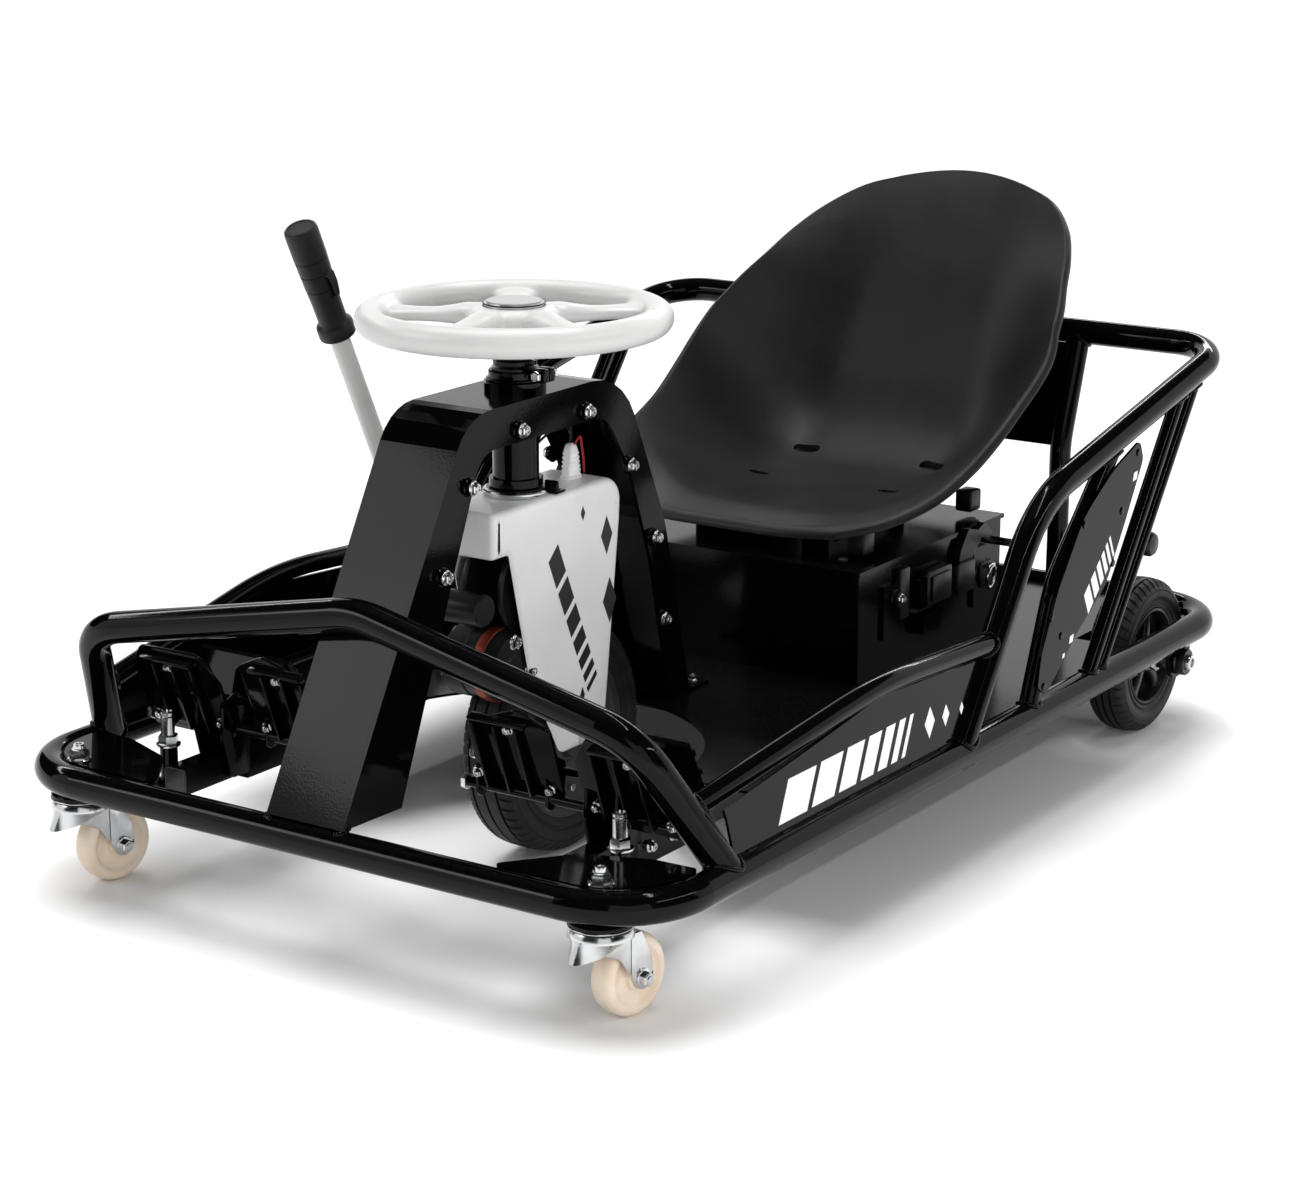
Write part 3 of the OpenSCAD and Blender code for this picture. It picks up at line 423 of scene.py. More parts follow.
class Shape:
    """Skins of millimetre points that become one piece."""

    def __init__(self):
        self.verts, self.faces = [], []

    def skin(self, rows, m=None, loop=True, caps=True, round_trip=False):
        base, n = len(self.verts), len(rows[0])
        for row in rows:
            self.verts += [(m @ Vector(p)) if m else Vector(p) for p in row]
        pairs = [(i, i + 1) for i in range(len(rows) - 1)] + ([(len(rows) - 1, 0)] if round_trip else [])
        for i, k in pairs:
            for j in range(n if loop else n - 1):
                q = (j + 1) % n
                self.faces.append((base + i * n + j, base + i * n + q, base + k * n + q, base + k * n + j))
        if caps and not round_trip:
            self.faces.append(tuple(base + j for j in range(n))[::-1])
            self.faces.append(tuple(base + (len(rows) - 1) * n + j for j in range(n)))
        return self

    def lathe(self, profile, m, n=40, caps=True, round_trip=False):
        """Profile rows (radius, height) turned about m's z axis."""
        rows = [[(r * math.cos(a), r * math.sin(a), h) for a in turns(n)] for r, h in profile]
        return self.skin(rows, m, caps=caps, round_trip=round_trip)

    def slab(self, outline, low, high, m, edge=0.6):
        """A plate of that outline from low to high, its edges eased by edge."""
        outline = anticlockwise([Vector(p[:2]) for p in outline])
        rows = [(edge, low), (edge * 0.3, low + edge * 0.3), (0, low + edge), (0, high - edge),
                (edge * 0.3, high - edge * 0.3), (edge, high)]
        return self.skin([[(*p, h) for p in inset(outline, d)] for d, h in rows], m)

    def block(self, low, high, edge=1.0, m=None):
        (x0, y0, z0), (x1, y1, z1) = low, high
        r = min(edge, (x1 - x0) / 3, (y1 - y0) / 3)
        corners = [(x0, y0, r), (x1, y0, r), (x1, y1, r), (x0, y1, r)]
        return self.slab(rounded(corners, 30), z0, z1, m, min(edge, (z1 - z0) / 3))

    def tube(self, points, radius, n=12, ring=False):
        """A round section swept along points; radius may change from point to point."""
        points = [Vector(p) for p in points]
        count = len(points)
        radii = radius if isinstance(radius, (list, tuple)) else [radius] * count
        rows, side = [], None
        for k, p in enumerate(points):
            after = points[(k + 1) % count] if ring or k < count - 1 else p
            before = points[k - 1] if ring or k else p
            way = (after - before).normalized()
            side = way.orthogonal() if side is None else side - way * side.dot(way)
            side.normalize()
            up = way.cross(side)
            rows.append([p + radii[k] * (side * math.cos(a) + up * math.sin(a)) for a in turns(n)])
        return self.skin(rows, caps=not ring, round_trip=ring)

    def hexagon(self, m, across, height, low=0.0):
        """A hex head or nut with its chamfered crown."""
        r = across / math.sqrt(3)
        rows = [(r * 0.94, low), (r, low + 0.6), (r, low + height - across * 0.09),
                (across * 0.47, low + height)]
        return self.lathe(rows, m, 6)

    def flange_bolt(self, place, way, across, height, flange=1.45):
        """Hex flange head with the ring and hollow on its crown."""
        m = stand(place, way)
        f = across * flange / 2
        self.lathe([(f, 0), (f, 1.0), (f * 0.93, 1.7), (across * 0.5, 2.4)], m, 28)
        self.hexagon(m, across, height, 1.2)
        top = height + 1.2
        q = across * 0.36
        return self.lathe([(q, top - 0.4), (q, top + 0.7), (q * 0.9, top + 1.1), (q * 0.66, top + 1.1),
                           (q * 0.58, top + 0.6), (q * 0.5, top - 0.2)], m, 24)

    def bead(self, points, size=2.6, pitch=3.4, ring=False):
        """A rippled weld bead along points."""
        points = [Vector(p) for p in points]
        way, fine, lengths = 0.0, [], []
        ends = points[1:] + points[:1] if ring else points[1:]
        for a, b in zip(points, ends):
            n = max(1, round((b - a).length / (pitch / 3)))
            for k in range(n):
                fine.append(a.lerp(b, k / n))
                lengths.append(way + (b - a).length * k / n)
            way += (b - a).length
        radii = [size * (0.84 + 0.22 * abs(math.sin(math.pi * w / pitch)) + 0.06 * math.sin(w * 1.7))
                 for w in lengths]
        return self.tube(fine, radii, 7, ring)

    def cope_bead(self, start, way, branch, spot, along, main, size=2.6):
        """The bead where a tube from start along way meets the tube through spot along along."""
        way, along = Vector(way).normalized(), Vector(along).normalized()
        side = way.orthogonal().normalized()
        up = way.cross(side)
        ring = []
        for a in turns(48):
            p = Vector(start) + (branch + size * 0.25) * (side * math.cos(a) + up * math.sin(a))
            w = way - along * way.dot(along)
            c = (p - Vector(spot)) - along * (p - Vector(spot)).dot(along)
            qa, qb, qc = w.dot(w), 2 * w.dot(c), c.dot(c) - (main + size * 0.2) ** 2
            under = qb * qb - 4 * qa * qc
            ring.append(p + way * (-qb - math.sqrt(max(0, under))) / (2 * qa))
        return self.bead(ring, size, ring=True)

    def both(self):
        """Adds the mirror image on the other side."""
        base = len(self.verts)
        self.verts += [Vector((-v.x, v.y, v.z)) for v in self.verts]
        self.faces += [tuple(base + k for k in f[::-1]) for f in list(self.faces)]
        return self

    def mesh(self, name):
        """The shape as mesh data, its faces turned outwards."""
        mesh = bpy.data.meshes.new(name)
        mesh.from_pydata([at(*v) for v in self.verts], [], self.faces)
        work = bmesh.new()
        work.from_mesh(mesh)
        bmesh.ops.recalc_face_normals(work, faces=work.faces)
        work.to_mesh(mesh)
        work.free()
        return mesh

    def loose(self, name):
        """An object of the shape, for modelling only."""
        return linked(name, self.mesh(name))

    def make(self, name, body, finish, sharp=32, bevel=0.0, slot=None, stands_for=()):
        """The shape as a piece of the kart."""
        return settle(name, self.mesh(name), body, finish, sharp, bevel, stands_for)


def settle(name, mesh, body, finish, sharp=32, bevel=0.0, stands_for=()):
    """Puts a mesh in the scene as a piece on a body, with its finish."""
    mesh.polygons.foreach_set("use_smooth", [True] * len(mesh.polygons))
    mesh.set_sharp_from_angle(angle=math.radians(sharp))
    mesh.materials.clear()
    mesh.materials.append(FINISHES[finish])
    thing = linked(name, mesh)
    if bevel:
        edges = thing.modifiers.new("edges", "BEVEL")
        edges.width = bevel * MM
        edges.segments = 2
        edges.limit_method = "ANGLE"
        edges.angle_limit = math.radians(40)
    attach(thing, body)
    if stands_for:
        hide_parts(*stands_for)
    return thing


def baked(thing):
    """The mesh of thing with its modifiers applied; thing itself goes."""
    graph = bpy.context.evaluated_depsgraph_get()
    mesh = bpy.data.meshes.new_from_object(thing.evaluated_get(graph))
    bpy.data.objects.remove(thing)
    return mesh


def carved(thing, cutter):
    """The mesh of thing with cutter taken out of it; both go."""
    step = thing.modifiers.new("cut", "BOOLEAN")
    step.operation = "DIFFERENCE"
    step.solver = "EXACT"
    step.object = cutter
    mesh = baked(thing)
    bpy.data.objects.remove(cutter)
    return mesh


# Pieces
def dress_nodes():
    """Finishes for the solids that stay, and eased edges on the folded sheets and the box."""
    for thing in NODES.values():
        for k, old in enumerate(thing.data.materials):
            thing.data.materials[k] = FINISHES[old.name.split(".")[0]]
    for name in ("column_shell", "column_sides", "battery_box", "side_panels"):
        edges = NODES[name].modifiers.new("edges", "BEVEL")
        edges.width = 0.0012
        edges.segments = 3
        edges.limit_method = "ANGLE"
        edges.angle_limit = math.radians(50)
        edges.harden_normals = True


SEAT_HALF = 237
SEAT_ROWS = [  # middle y, middle z, half width share, rim y, rim z
    (742, 293, 0.60, 752, 297), (764, 290, 0.78, 782, 308), (812, 292, 0.91, 834, 327),
    (880, 292, 0.965, 894, 352), (950, 292, 0.975, 955, 378), (1010, 293, 0.99, 1008, 410),
    (1065, 300, 1.00, 1040, 431), (1112, 328, 1.00, 1066, 450), (1146, 370, 0.985, 1086, 468),
    (1170, 415, 0.955, 1106, 484), (1192, 458, 0.92, 1134, 504), (1218, 505, 0.86, 1168, 528),
    (1245, 545, 0.80, 1204, 553), (1274, 583, 0.70, 1244, 580), (1298, 611, 0.55, 1277, 603),
    (1313, 626, 0.36, 1297, 616)]
SEAT_SLOTS = [  # x, y, length, width, swing
    (-90, 962, 26, 11, 0), (90, 962, 26, 11, 0), (-88, 1070, 34, 15, 10), (88, 1070, 34, 15, -10)]


def make_seat():
    """Moulded bucket: smooth shell with a rolled rim, four slots and pads behind two of them."""
    steps = 5
    round_from = 11  # the row from which the back's top edge turns round
    mid = spline([(r[0], r[1], r[2]) for r in SEAT_ROWS], steps)
    rim = spline([(r[3], r[4], 0) for r in SEAT_ROWS], steps)
    cols = 64
    grid = []
    for m, r in zip(mid, rim):
        row = []
        for j in range(cols + 1):
            v = 2 * j / cols - 1
            s = math.sin(math.pi / 2 * abs(v))
            k = max(0.0, (s - 0.4) / 0.6) ** 1.7
            k += (s * s - k) * max(0.0, len(grid) / steps - round_from) / 4
            w = SEAT_HALF * m.z * math.sin(math.pi / 2 * v) * (1 - 0.04 * (1 - abs(v)))
            row.append(Vector((w, m.x + (r.x - m.x) * k, m.y + (r.y - m.y) * k)))
        grid.append(row)
    n = len(grid) - 1
    reach = 8.5
    bends = [math.radians(a) for a in (26, 52, 78, 104)]

    def rim_way(i, j):
        """Level direction away from the seat at a rim point."""
        side = Vector((0, 0, 0))
        if j in (0, cols):
            t = grid[min(n, i + 1)][j] - grid[max(0, i - 1)][j]
            side = Vector((t.y, -t.x, 0)).normalized() * (1 if j else -1)
        if i in (0, n):
            t = grid[i][min(cols, j + 1)] - grid[i][max(0, j - 1)]
            end = Vector((-t.y, t.x, 0)).normalized() * (1 if i else -1)
            side = (side + end).normalized() if side.length else end
        return side

    rows = []
    for i in range(-len(bends), n + 1 + len(bends)):
        row = []
        for j in range(-len(bends), cols + 1 + len(bends)):
            p, q = max(0, min(n, i)), max(0, min(cols, j))
            step = max(p - i, i - p, q - j, j - q)
            point = grid[p][q].copy()
            if step:
                a = bends[step - 1]
                point += rim_way(p, q) * reach * math.sin(a) + Z * (reach * (math.cos(a) - 1))
            row.append(point)
        rows.append(row)
    thing = Shape().skin(rows, loop=False, caps=False).loose("seat_skin")
    if sum(p.normal.z for p in thing.data.polygons) < 0:
        thing.data.flip_normals()
    thick = thing.modifiers.new("thick", "SOLIDIFY")
    thick.thickness = 0.005
    thick.offset = -1
    thick.use_even_offset = False
    cutter = Shape()
    for x, y, long, wide, swing in SEAT_SLOTS:
        h = wide / 2
        corners = ((-1, -1), (1, -1), (1, 1), (-1, 1))
        outline = rounded([(a * long / 2, b * h, h * 0.98) for a, b in corners], 20)
        turn = Matrix.Rotation(math.radians(swing), 4, "Z")
        cutter.skin([[(*p, z) for p in outline] for z in (255, 345)], Matrix.Translation((x, y, 0)) @ turn)
    thing.data.transform(Matrix.Translation((0, 0, 0.0001)))
    mesh = carved(thing, cutter.loose("slots"))
    settle("seat_shell", mesh, "chassis", "seat_black", 50, stands_for=("seat",))
    pads = Shape()
    pads.block((-26, -15, -9.5), (26, 15, -6.2), 3, stand((88, 1069, 301.5), (0, -0.3, 1), X))
    pads.both().make("seat_pads", "chassis", "rim_black")


def make_steering_wheel():
    """Moulded wheel: round rim, five lobed arms and a domed hub, blended together."""
    hub = Vector((0, STEER_Y, WHEEL_Z))
    solid = Shape()
    solid.tube(ring(147.5, stand(hub, Z), 120), 15.5, 24, ring=True)
    solid.lathe([(30, -17), (42, -15), (47, -8), (48, 0), (46, 6), (40, 11), (36, 13)], stand(hub, Z), 60)
    arm = [  # distance from the hub, half width, underside, top
        (20, 17, -13, 11), (38, 18.5, -12, 13), (52, 18.5, -10, 13), (66, 17, -9, 10),
        (84, 15.5, -8, 7), (104, 16, -8, 6), (122, 20, -9, 6), (140, 27, -9, 6)]
    for k in range(5):
        a = math.radians(72 * k - 90)
        way, side = Vector((math.cos(a), math.sin(a), 0)), Vector((-math.sin(a), math.cos(a), 0))
        solid.skin([squashed(hub + way * d + Z * (high + low) / 2, side, Z, half, (high - low) / 2, 0.8, 28)
                    for d, half, low, high in arm])
    thing = solid.loose("wheel_blank")
    voxels = thing.modifiers.new("voxels", "REMESH")
    voxels.mode = "VOXEL"
    voxels.voxel_size = 0.0024
    soft = thing.modifiers.new("soft", "SMOOTH")
    soft.factor = 0.5
    soft.iterations = 14
    bores = Shape().lathe([(32.2, 9), (32.2, 40)], stand(hub, Z), 64)
    bores.lathe([(19.5, -60), (19.5, -15)], stand(hub, Z), 48)
    mesh = carved(linked("wheel_blank", baked(thing)), bores.loose("cap_seat"))
    # the steering wheel takes the darker copy of the white moulding: painted shade standing in for its strong
    # light
    settle("wheel_moulding", mesh, "steering", "wheel_white", 40,
           stands_for=("steering_wheel",))
    Shape().tube(ring(31.6, stand((0, STEER_Y, 598.5), Z), 72), 0.8, 8, ring=True).make(
        "cap_ring", "steering", "rim_black")


FORK_OUTLINE = [(252, 400, 6), (480, 400, 26), (477, 352, 40), (446, 118, 16), (366, 118, 16),
                (313, 215, 80), (280, 352, 4), (252, 352, 5)]


def make_fork():
    """Moulded fork with eased edges, open below and behind its front skirt."""
    half, r = 42, 9
    outline = anticlockwise(rounded(FORK_OUTLINE, 9))
    rows = []
    for k in range(7):
        a = math.pi / 2 * k / 6
        rows.append((r * (1 - math.sin(a)), -half + r * (1 - math.cos(a))))
    rows += [(d, -x) for d, x in rows[::-1]]
    body = Shape().skin([[(*p, x) for p in inset(outline, d)] for d, x in rows], SIDE_ON)
    inner = [(257, 395, 4), (475, 395, 20), (470, 300, 20), (500, 262, 0), (500, 60, 0), (240, 60, 0),
             (240, 340, 0), (257, 340, 0)]
    hollow = anticlockwise(rounded(inner, 12))
    cutter = Shape().skin([[(*p, x) for p in hollow] for x in (-37, 37)], SIDE_ON)
    for x0, x1 in ((-80, -40), (40, 80)):
        cutter.lathe([(7.1, x0 - 20), (7.1, x1 + 20)], stand((0, DRIVE_Y, DRIVE_R), X), 40)
    mesh = carved(body.loose("fork_blank"), cutter.loose("fork_hollow"))
    settle("fork_moulding", mesh, "steering", "moulded_white", 38, stands_for=("fork",))


def tyre(name, body, centre, radius, half, bead, blocks, node):
    """Tyre with grooves round it and slanted cuts in both shoulders."""
    side = [  # drop from the crown, inset from the side, depth of the cuts
        (31, 2.0, 0), (29, 2.0, 0), (28, 3.2, 0), (26, 3.2, 0), (24, 1.6, 0), (19, 0.4, 0), (14, 0.6, 0),
        (13, 1.4, 0), (12, 0.8, 0), (9, 2.0, 0.8), (5.5, 4.2, 2.2), (3, 7, 2.6), (1.4, 10.5, 2.2),
        (0.7, 14.4, 0.4), (3.5, 15, 0), (3.5, 16.8, 0), (0.4, 17.4, 0), (0, half - 1.4, 0),
        (3, half - 1.1, 0)]
    table = [(bead, half - 6, 0), (bead + 0.5, half - 3.5, 0)]
    table += [(radius - drop, half - inset, depth) for drop, inset, depth in side]
    table = [(r, -x, depth) for r, x, depth in table] + table[::-1]
    rows = []
    for block in range(blocks):
        for share, sunk in ((0, 1), (0.2, 1), (0.27, 0), (0.93, 0)):
            row = []
            for r, x, depth in table:
                a = 2 * math.pi * (block + share) / blocks + 0.004 * abs(x)
                q = r - depth * sunk
                row.append((centre[0] + x, centre[1] + q * math.cos(a), centre[2] + q * math.sin(a)))
            rows.append(row)
    Shape().skin(rows, round_trip=True).make(name, body, "tyre_black", 30, stands_for=(node,))


def rear_wheel(side, word):
    """Tyre, five-spoke rim and hub on one rear axle bolt."""
    centre = Vector((side * 338, AXLE_Y, REAR_R))
    body = "rear_wheel_" + word[0]
    tyre("tread_" + word, body, centre, REAR_R, 25, 59, 46, "rear_tyre_" + word)
    m = stand(centre, (side, 0, 0))
    rim = Shape()
    rim.lathe([(58.9, -20), (58.9, 20.4), (58.2, 22), (56.4, 22.6), (54.8, 21.4), (53.9, 17), (52.6, 14),
               (52.2, 0), (52.6, -15), (55, -21), (57.5, -21.4)], m, 96, round_trip=True)
    spoke = [  # distance from the hub, half width, inner face, outer face
        (14, 9.5, 2, 16), (24, 7.4, 4, 17), (36, 6.3, 7, 17.5), (46, 7.2, 7, 17), (53.6, 12, 3, 17)]
    for k in range(5):
        a = math.radians(72 * k + 20)
        way, across = Vector((0, math.cos(a), math.sin(a))), Vector((0, -math.sin(a), math.cos(a)))
        rim.skin([squashed(centre + way * d + X * side * (low + high) / 2, across, X, half, (high - low) / 2)
                  for d, half, low, high in spoke])
    rim.lathe([(8.2, -22.8), (18.5, -22.8), (19.5, -21), (17, -14), (16, -4), (17, 5), (19.5, 12),
               (19.5, 17), (17.5, 19), (14.5, 19), (13.8, 17), (12, 17), (11.6, 22.6), (8.2, 22.6)],
              m, 48, round_trip=True)
    rim.make("rim_" + word, body, "rim_black", 32, stands_for=("rear_rim_" + word,))


def make_axle_bolts():
    """Rear axle bolts with their spacers, and black sleeves at their outer ends."""
    bolts = Shape()
    m = stand((0, AXLE_Y, REAR_R), X)
    bolts.lathe([(8, 300.9), (8, 306.9), (12.5, 307), (12.5, 314.7), (8, 314.8), (8, 361.2), (12.5, 361.4),
                 (12.5, 389.8), (8, 389.9), (8, 396.1), (14.4, 396.1), (14.4, 397.6), (9, 397.7), (9.4, 407),
                 (9.4, 411), (8.6, 412.4), (5.4, 412.4), (5, 409.6), (0.4, 409.4)], m, 40)
    bolts.hexagon(stand((361.9, AXLE_Y, REAR_R), X), 30, 8)
    bolts.both().make("axle_bolts", "chassis", "zinc", stands_for=("rear_axles",))
    sleeves = Shape().lathe([(9.5, 397.7), (15.6, 397.7), (16, 398.6), (16, 405.2), (15, 406.8),
                             (9.5, 406.8)], m, 40, round_trip=True)
    sleeves.both().make("axle_sleeves", "chassis", "rim_black")


def make_drive_wheel():
    """Tyre of the drive wheel and the bolts round its hub motor."""
    tyre("tread_drive", "drive_wheel", (0, DRIVE_Y, DRIVE_R), DRIVE_R, 31, 89, 56, "drive_tyre")
    bolts = Shape()
    for side in (-1, 1):
        for a in turns(8):
            spot = (side * 24, DRIVE_Y + 58 * math.cos(a), DRIVE_R + 58 * math.sin(a))
            bolts.hexagon(stand(spot, (side, 0, 0)), 8, 4)
    bolts.make("hub_bolts", "drive_wheel", "zinc")


def caster(side, word, swing):
    """Pressed fork, races, axle bolt and nylon wheel of one caster."""
    turned = Matrix.Rotation(math.radians(-swing), 4, "Z")
    m = Matrix.Translation((side * CASTER_X, CASTER_Y, 0)) @ turned
    body = "caster_" + word
    crown = 98.0
    fork = Shape()
    fork.lathe([(6.2, crown), (26, crown), (29.5, crown - 1), (31.4, crown - 4), (31.8, crown - 8.5),
                (29.8, crown - 8.5), (29, crown - 5), (26, crown - 3.4), (6.2, crown - 3.4)],
               m, 56, round_trip=True)
    hood = []
    thinner = Matrix.Diagonal((0.94, 0.94, 1))
    for t in range(-12, 13):
        a = math.radians(t * 10 - 90)
        front = max(0.0, math.cos(math.radians(t * 10))) ** 1.6
        top = Vector((31.2 * math.cos(a), 31.2 * math.sin(a), crown - 6))
        x = max(-18.5, min(18.5, 22 * math.cos(a)))
        mid = Vector((x * 1.12, (25 + 9 * front) * math.sin(a), crown - 11 - 4 * front))
        low = Vector((x, (20 + 20 * front) * math.sin(a), crown - 19 - 9 * front))
        hood.append([top, top.lerp(mid, 0.5) + Z * 1.2, mid, low, thinner @ low, thinner @ mid,
                     thinner @ top - Z])
    fork.skin(hood, m)
    for k in (-1, 1):
        cheek = Matrix.Scale(k, 4, X) @ SIDE_ON
        rear = rounded([(20, 88, 0), (34, 88, 3), (48, 60, 26), (49, 41, 0), (49, 40, 11), (41, 28.5, 9),
                        (30, 31, 8), (20, 47, 0)], 12)
        fork.slab(rear, 17, 20, m @ cheek, 0.5)
        front = rounded([(-20, 90, 3), (20.3, 90, 0), (20.3, 47, 0), (8, 66, 18), (-14, 76, 10)], 12)
        lean = Matrix.Rotation(math.radians(-3.5 * k), 4, "Z")
        tilt = Matrix.Translation(Y * 20) @ lean @ Matrix.Translation(Y * -20)
        fork.slab(front, 17, 20, m @ tilt @ cheek, 0.5)
    axle = Vector((0, 36, 41))
    fork.lathe([(4, -22.5), (4, 28), (3.4, 29)], m @ stand(axle, X), 20)
    for k in (-1, 1):
        spot = stand(axle + X * k * 20, (k, 0, 0), Z)
        fork.lathe([(9.5, 0), (9.5, 1.4), (8.6, 1.8)], m @ spot, 32)
        fork.hexagon(m @ spot, 13, 6.6 if k > 0 else 7, 1.6)
    fork.make("caster_cheeks_" + word, body, "zinc", 30, stands_for=("caster_fork_" + word,))
    profile = mirrored([(4.1, -15.8), (12.6, -15.8), (13.6, -14.8), (14.4, -10.4), (16, -9.4), (26, -9.6),
                        (28.4, -10.6), (30, -12.6), (32, -13.4), (36, -12.8), (39.4, -10), (40.8, -5.5),
                        (41, 0)])
    wheel = Shape().lathe(profile, m @ stand(axle, X), 80, round_trip=True)
    wheel.make("nylon_" + word, "caster_wheel_" + word[0], "nylon_cream", 34,
               stands_for=("caster_wheel_" + word,))


def make_caster_heads():
    """Upper races under the corner tubes, their studs and flange nuts."""
    cups, studs = Shape(), Shape()
    m = stand((CASTER_X, CASTER_Y, 0), Z)
    cups.lathe([(6.1, 100.4), (30.6, 100.4), (30.9, 104), (28.5, 106.9), (6.1, 106.9)],
               m, 56, round_trip=True)
    studs.lathe([(6, 99.05), (31.4, 99.05), (31.7, 99.8), (31.4, 100.4), (6, 100.4)],
                m, 56, round_trip=True)
    studs.lathe([(6, 74.2), (6, 153), (5.3, 155.5), (3.4, 155.5), (3.0, 154), (0.5, 153.6)], m, 28)
    studs.lathe([(6.1, 138.2), (13.2, 138.2), (13.2, 139.4), (12, 140.6), (6.1, 140.8)],
                m, 36, round_trip=True)
    studs.hexagon(stand((CASTER_X, CASTER_Y, 140), Z, (1, 0.3, 0)), 18, 9.5)
    studs.lathe([(7.6, 149), (7.6, 150.6), (6.1, 151)], m, 30)
    cups.both().make("race_cups", "chassis", "frame_black", stands_for=("caster_heads",))
    studs.both().make("caster_studs", "chassis", "zinc")


COLUMN_BOLTS = [  # y, z
    (203, 440), (157, 359), (286, 483), (401, 482), (479, 411), (525, 323), (542, 228)]


def make_column_details():
    """Spacers and bolts of the side plates, and two bolts at the strip's foot."""
    seats, heads = Shape(), Shape()
    for y, z in COLUMN_BOLTS:
        seats.lathe([(9.8, 0), (9.8, 1.2), (8.6, 2.0), (8.2, 5.4)], stand((48, y, z), X), 28)
        heads.flange_bolt((53.2, y, z), X, 11, 5, 1.4)
    for y in (606, 628):
        heads.flange_bolt((34, y, 134), Z, 8, 4.5)
    seats.both().make("column_spacers", "chassis", "frame_black", 40)
    heads.both().make("column_bolts", "chassis", "zinc")


def make_steering_details():
    """Collar with its clamp bolt, the wheel's boss, and the plug and wires at the fork's top."""
    collar = Shape()
    m = stand((0, STEER_Y, 0), Z)
    collar.lathe([(24.2, 519), (29.5, 519), (30, 520.4), (30, 521.8), (28.6, 522.6), (27.4, 523), (27.4, 529),
                  (26.4, 530.4), (24.2, 530.6)], m, 56, round_trip=True)
    for y0, y1 in ((335, 344), (345, 354)):
        collar.block((29, y0, 521), (45, y1, 535), 1.5)
    collar.make("collar_clamp", "chassis", "frame_black")
    bolt = Shape().lathe([(2.9, 331), (2.9, 362), (2.4, 362.6)], stand((38, 0, 528), Y), 20)
    bolt.hexagon(stand((38, 332.4, 528), -Y), 10, 5)
    bolt.hexagon(stand((38, 357.4, 528), Y), 10, 4.5)
    bolt.make("collar_bolt", "chassis", "zinc")
    neck = Shape().lathe([(15.1, 535.2), (22, 535.2), (22.6, 536), (22.6, 540), (20, 541.4), (17.4, 542),
                          (16.6, 552), (17.6, 556), (30, 562), (39.6, 565.6), (39.6, 566.4),
                          (15.1, 566.4)], m, 64, round_trip=True)
    neck.make("wheel_boss", "steering", "frame_black", 36)
    crown = Shape().lathe([(31.1, 400.3), (34.2, 400.3), (34.8, 401.4), (34.8, 405), (33.8, 406.6),
                           (31.1, 407.4)], m, 56, round_trip=True)
    crown.make("crown_ring", "steering", "zinc", 30)
    clip = Shape().block((24, 362, 400.2), (40, 366, 414), 1.0)
    clip.block((24, 362, 400.2), (40, 378, 403), 1.0)
    clip.make("wire_clip", "steering", "frame_black", bevel=0.4)
    plug = Shape()
    rows = [  # height, half length, half width
        (400.2, 13, 8), (403, 13, 8), (404, 11.5, 7), (412, 10, 6.6), (424, 7.6, 6.4), (431, 6.8, 6.2),
        (436, 5, 4.8), (438, 2, 2)]
    plug.skin([squashed(Vector((8, 432, z)), Y, X, half, deep, 0.6, 28) for z, half, deep in rows])
    for k in range(5):
        z = 408 + 4.6 * k
        half, deep = 11.6 - 0.16 * (z - 404), 7.9 - 0.03 * (z - 404)
        plug.skin([squashed(Vector((8, 432, z + q)), Y, X, half, deep, 0.6, 24) for q in (0, 1.6)])
    plug.make("wire_plug", "steering", "moulded_white", 40)
    wires = Shape()
    for shift, top in ((0, 468), (5, 462)):
        path = [(8, 430 + shift * 0.4, 434), (6, 436, 446), (4 - shift, 434, top - 6), (2, 418, top),
                (0, 396 + shift, top - 10), (-2, 380, 440), (-6 + shift, 370, 420), (-8, 366, 402)]
        wires.tube(spline(path, 8), 1.5, 8)
    wires.make("wires", "steering", "rim_black", 60)
    path = [(11, 431, 434), (14, 440, 444), (12, 446, 434), (10, 452, 418), (8, 456, 402)]
    Shape().tube(spline(path, 8), 1.2, 8).make("red_wire", "steering", "red_lead", 60, slot="rim_black")


def make_motor():
    """Gear case and motor can that turn with the fork."""
    can = Shape()
    m = stand((0, 292, 232), X)
    can.lathe([(0.5, -35.6), (10, -35.6), (12, -34), (34, -34), (38, -30), (38, -8), (36.6, -7), (36.6, 6),
               (38, 7), (38, 22), (35, 27), (33, 34), (13, 34), (11, 35.8), (0.5, 35.8)], m, 72)
    for low, high in ((20, 27), (-27, -20)):
        can.lathe([(0.5, low), (52, low), (54, low + 2), (54, high - 2), (52, high), (0.5, high)],
                  stand((0, 336, 306), X), 72)
    can.lathe([(0.5, -31), (15, -31), (17, -29), (17, 29), (15, 31), (0.5, 31)], stand((0, 250, 300), X), 40)
    can.make("motor_can", "steering", "rim_black", 34)
    band = Shape().lathe([(36.8, 8), (39.2, 8.6), (39.6, 12), (39.6, 17), (39.2, 20.4), (36.8, 21)],
                         m, 72, round_trip=True)
    band.make("copper_band", "steering", "copper", 40, slot="motor_grey")
    nuts = Shape()
    for y, z in ((318, 222), (270, 222), (292, 258)):
        nuts.flange_bolt((34.2, y, z), X, 11, 6)
    nuts.both().make("motor_nuts", "steering", "zinc")


def sticker(outlines, x, name, body, finish, slot):
    """Thin printed film on an upright face at x, and on its mirror image."""
    film = Shape()
    for outline in outlines:
        corners = anticlockwise([Vector(q) for q in outline])
        film.skin([[(*p, h) for p in corners] for h in (x, x + 0.25)], SIDE_ON)
    film.both().make(name, body, finish, slot=slot)


def diamond(c, a, b):
    """Four corners round c."""
    return [c + a, c + b, c - a, c - b]


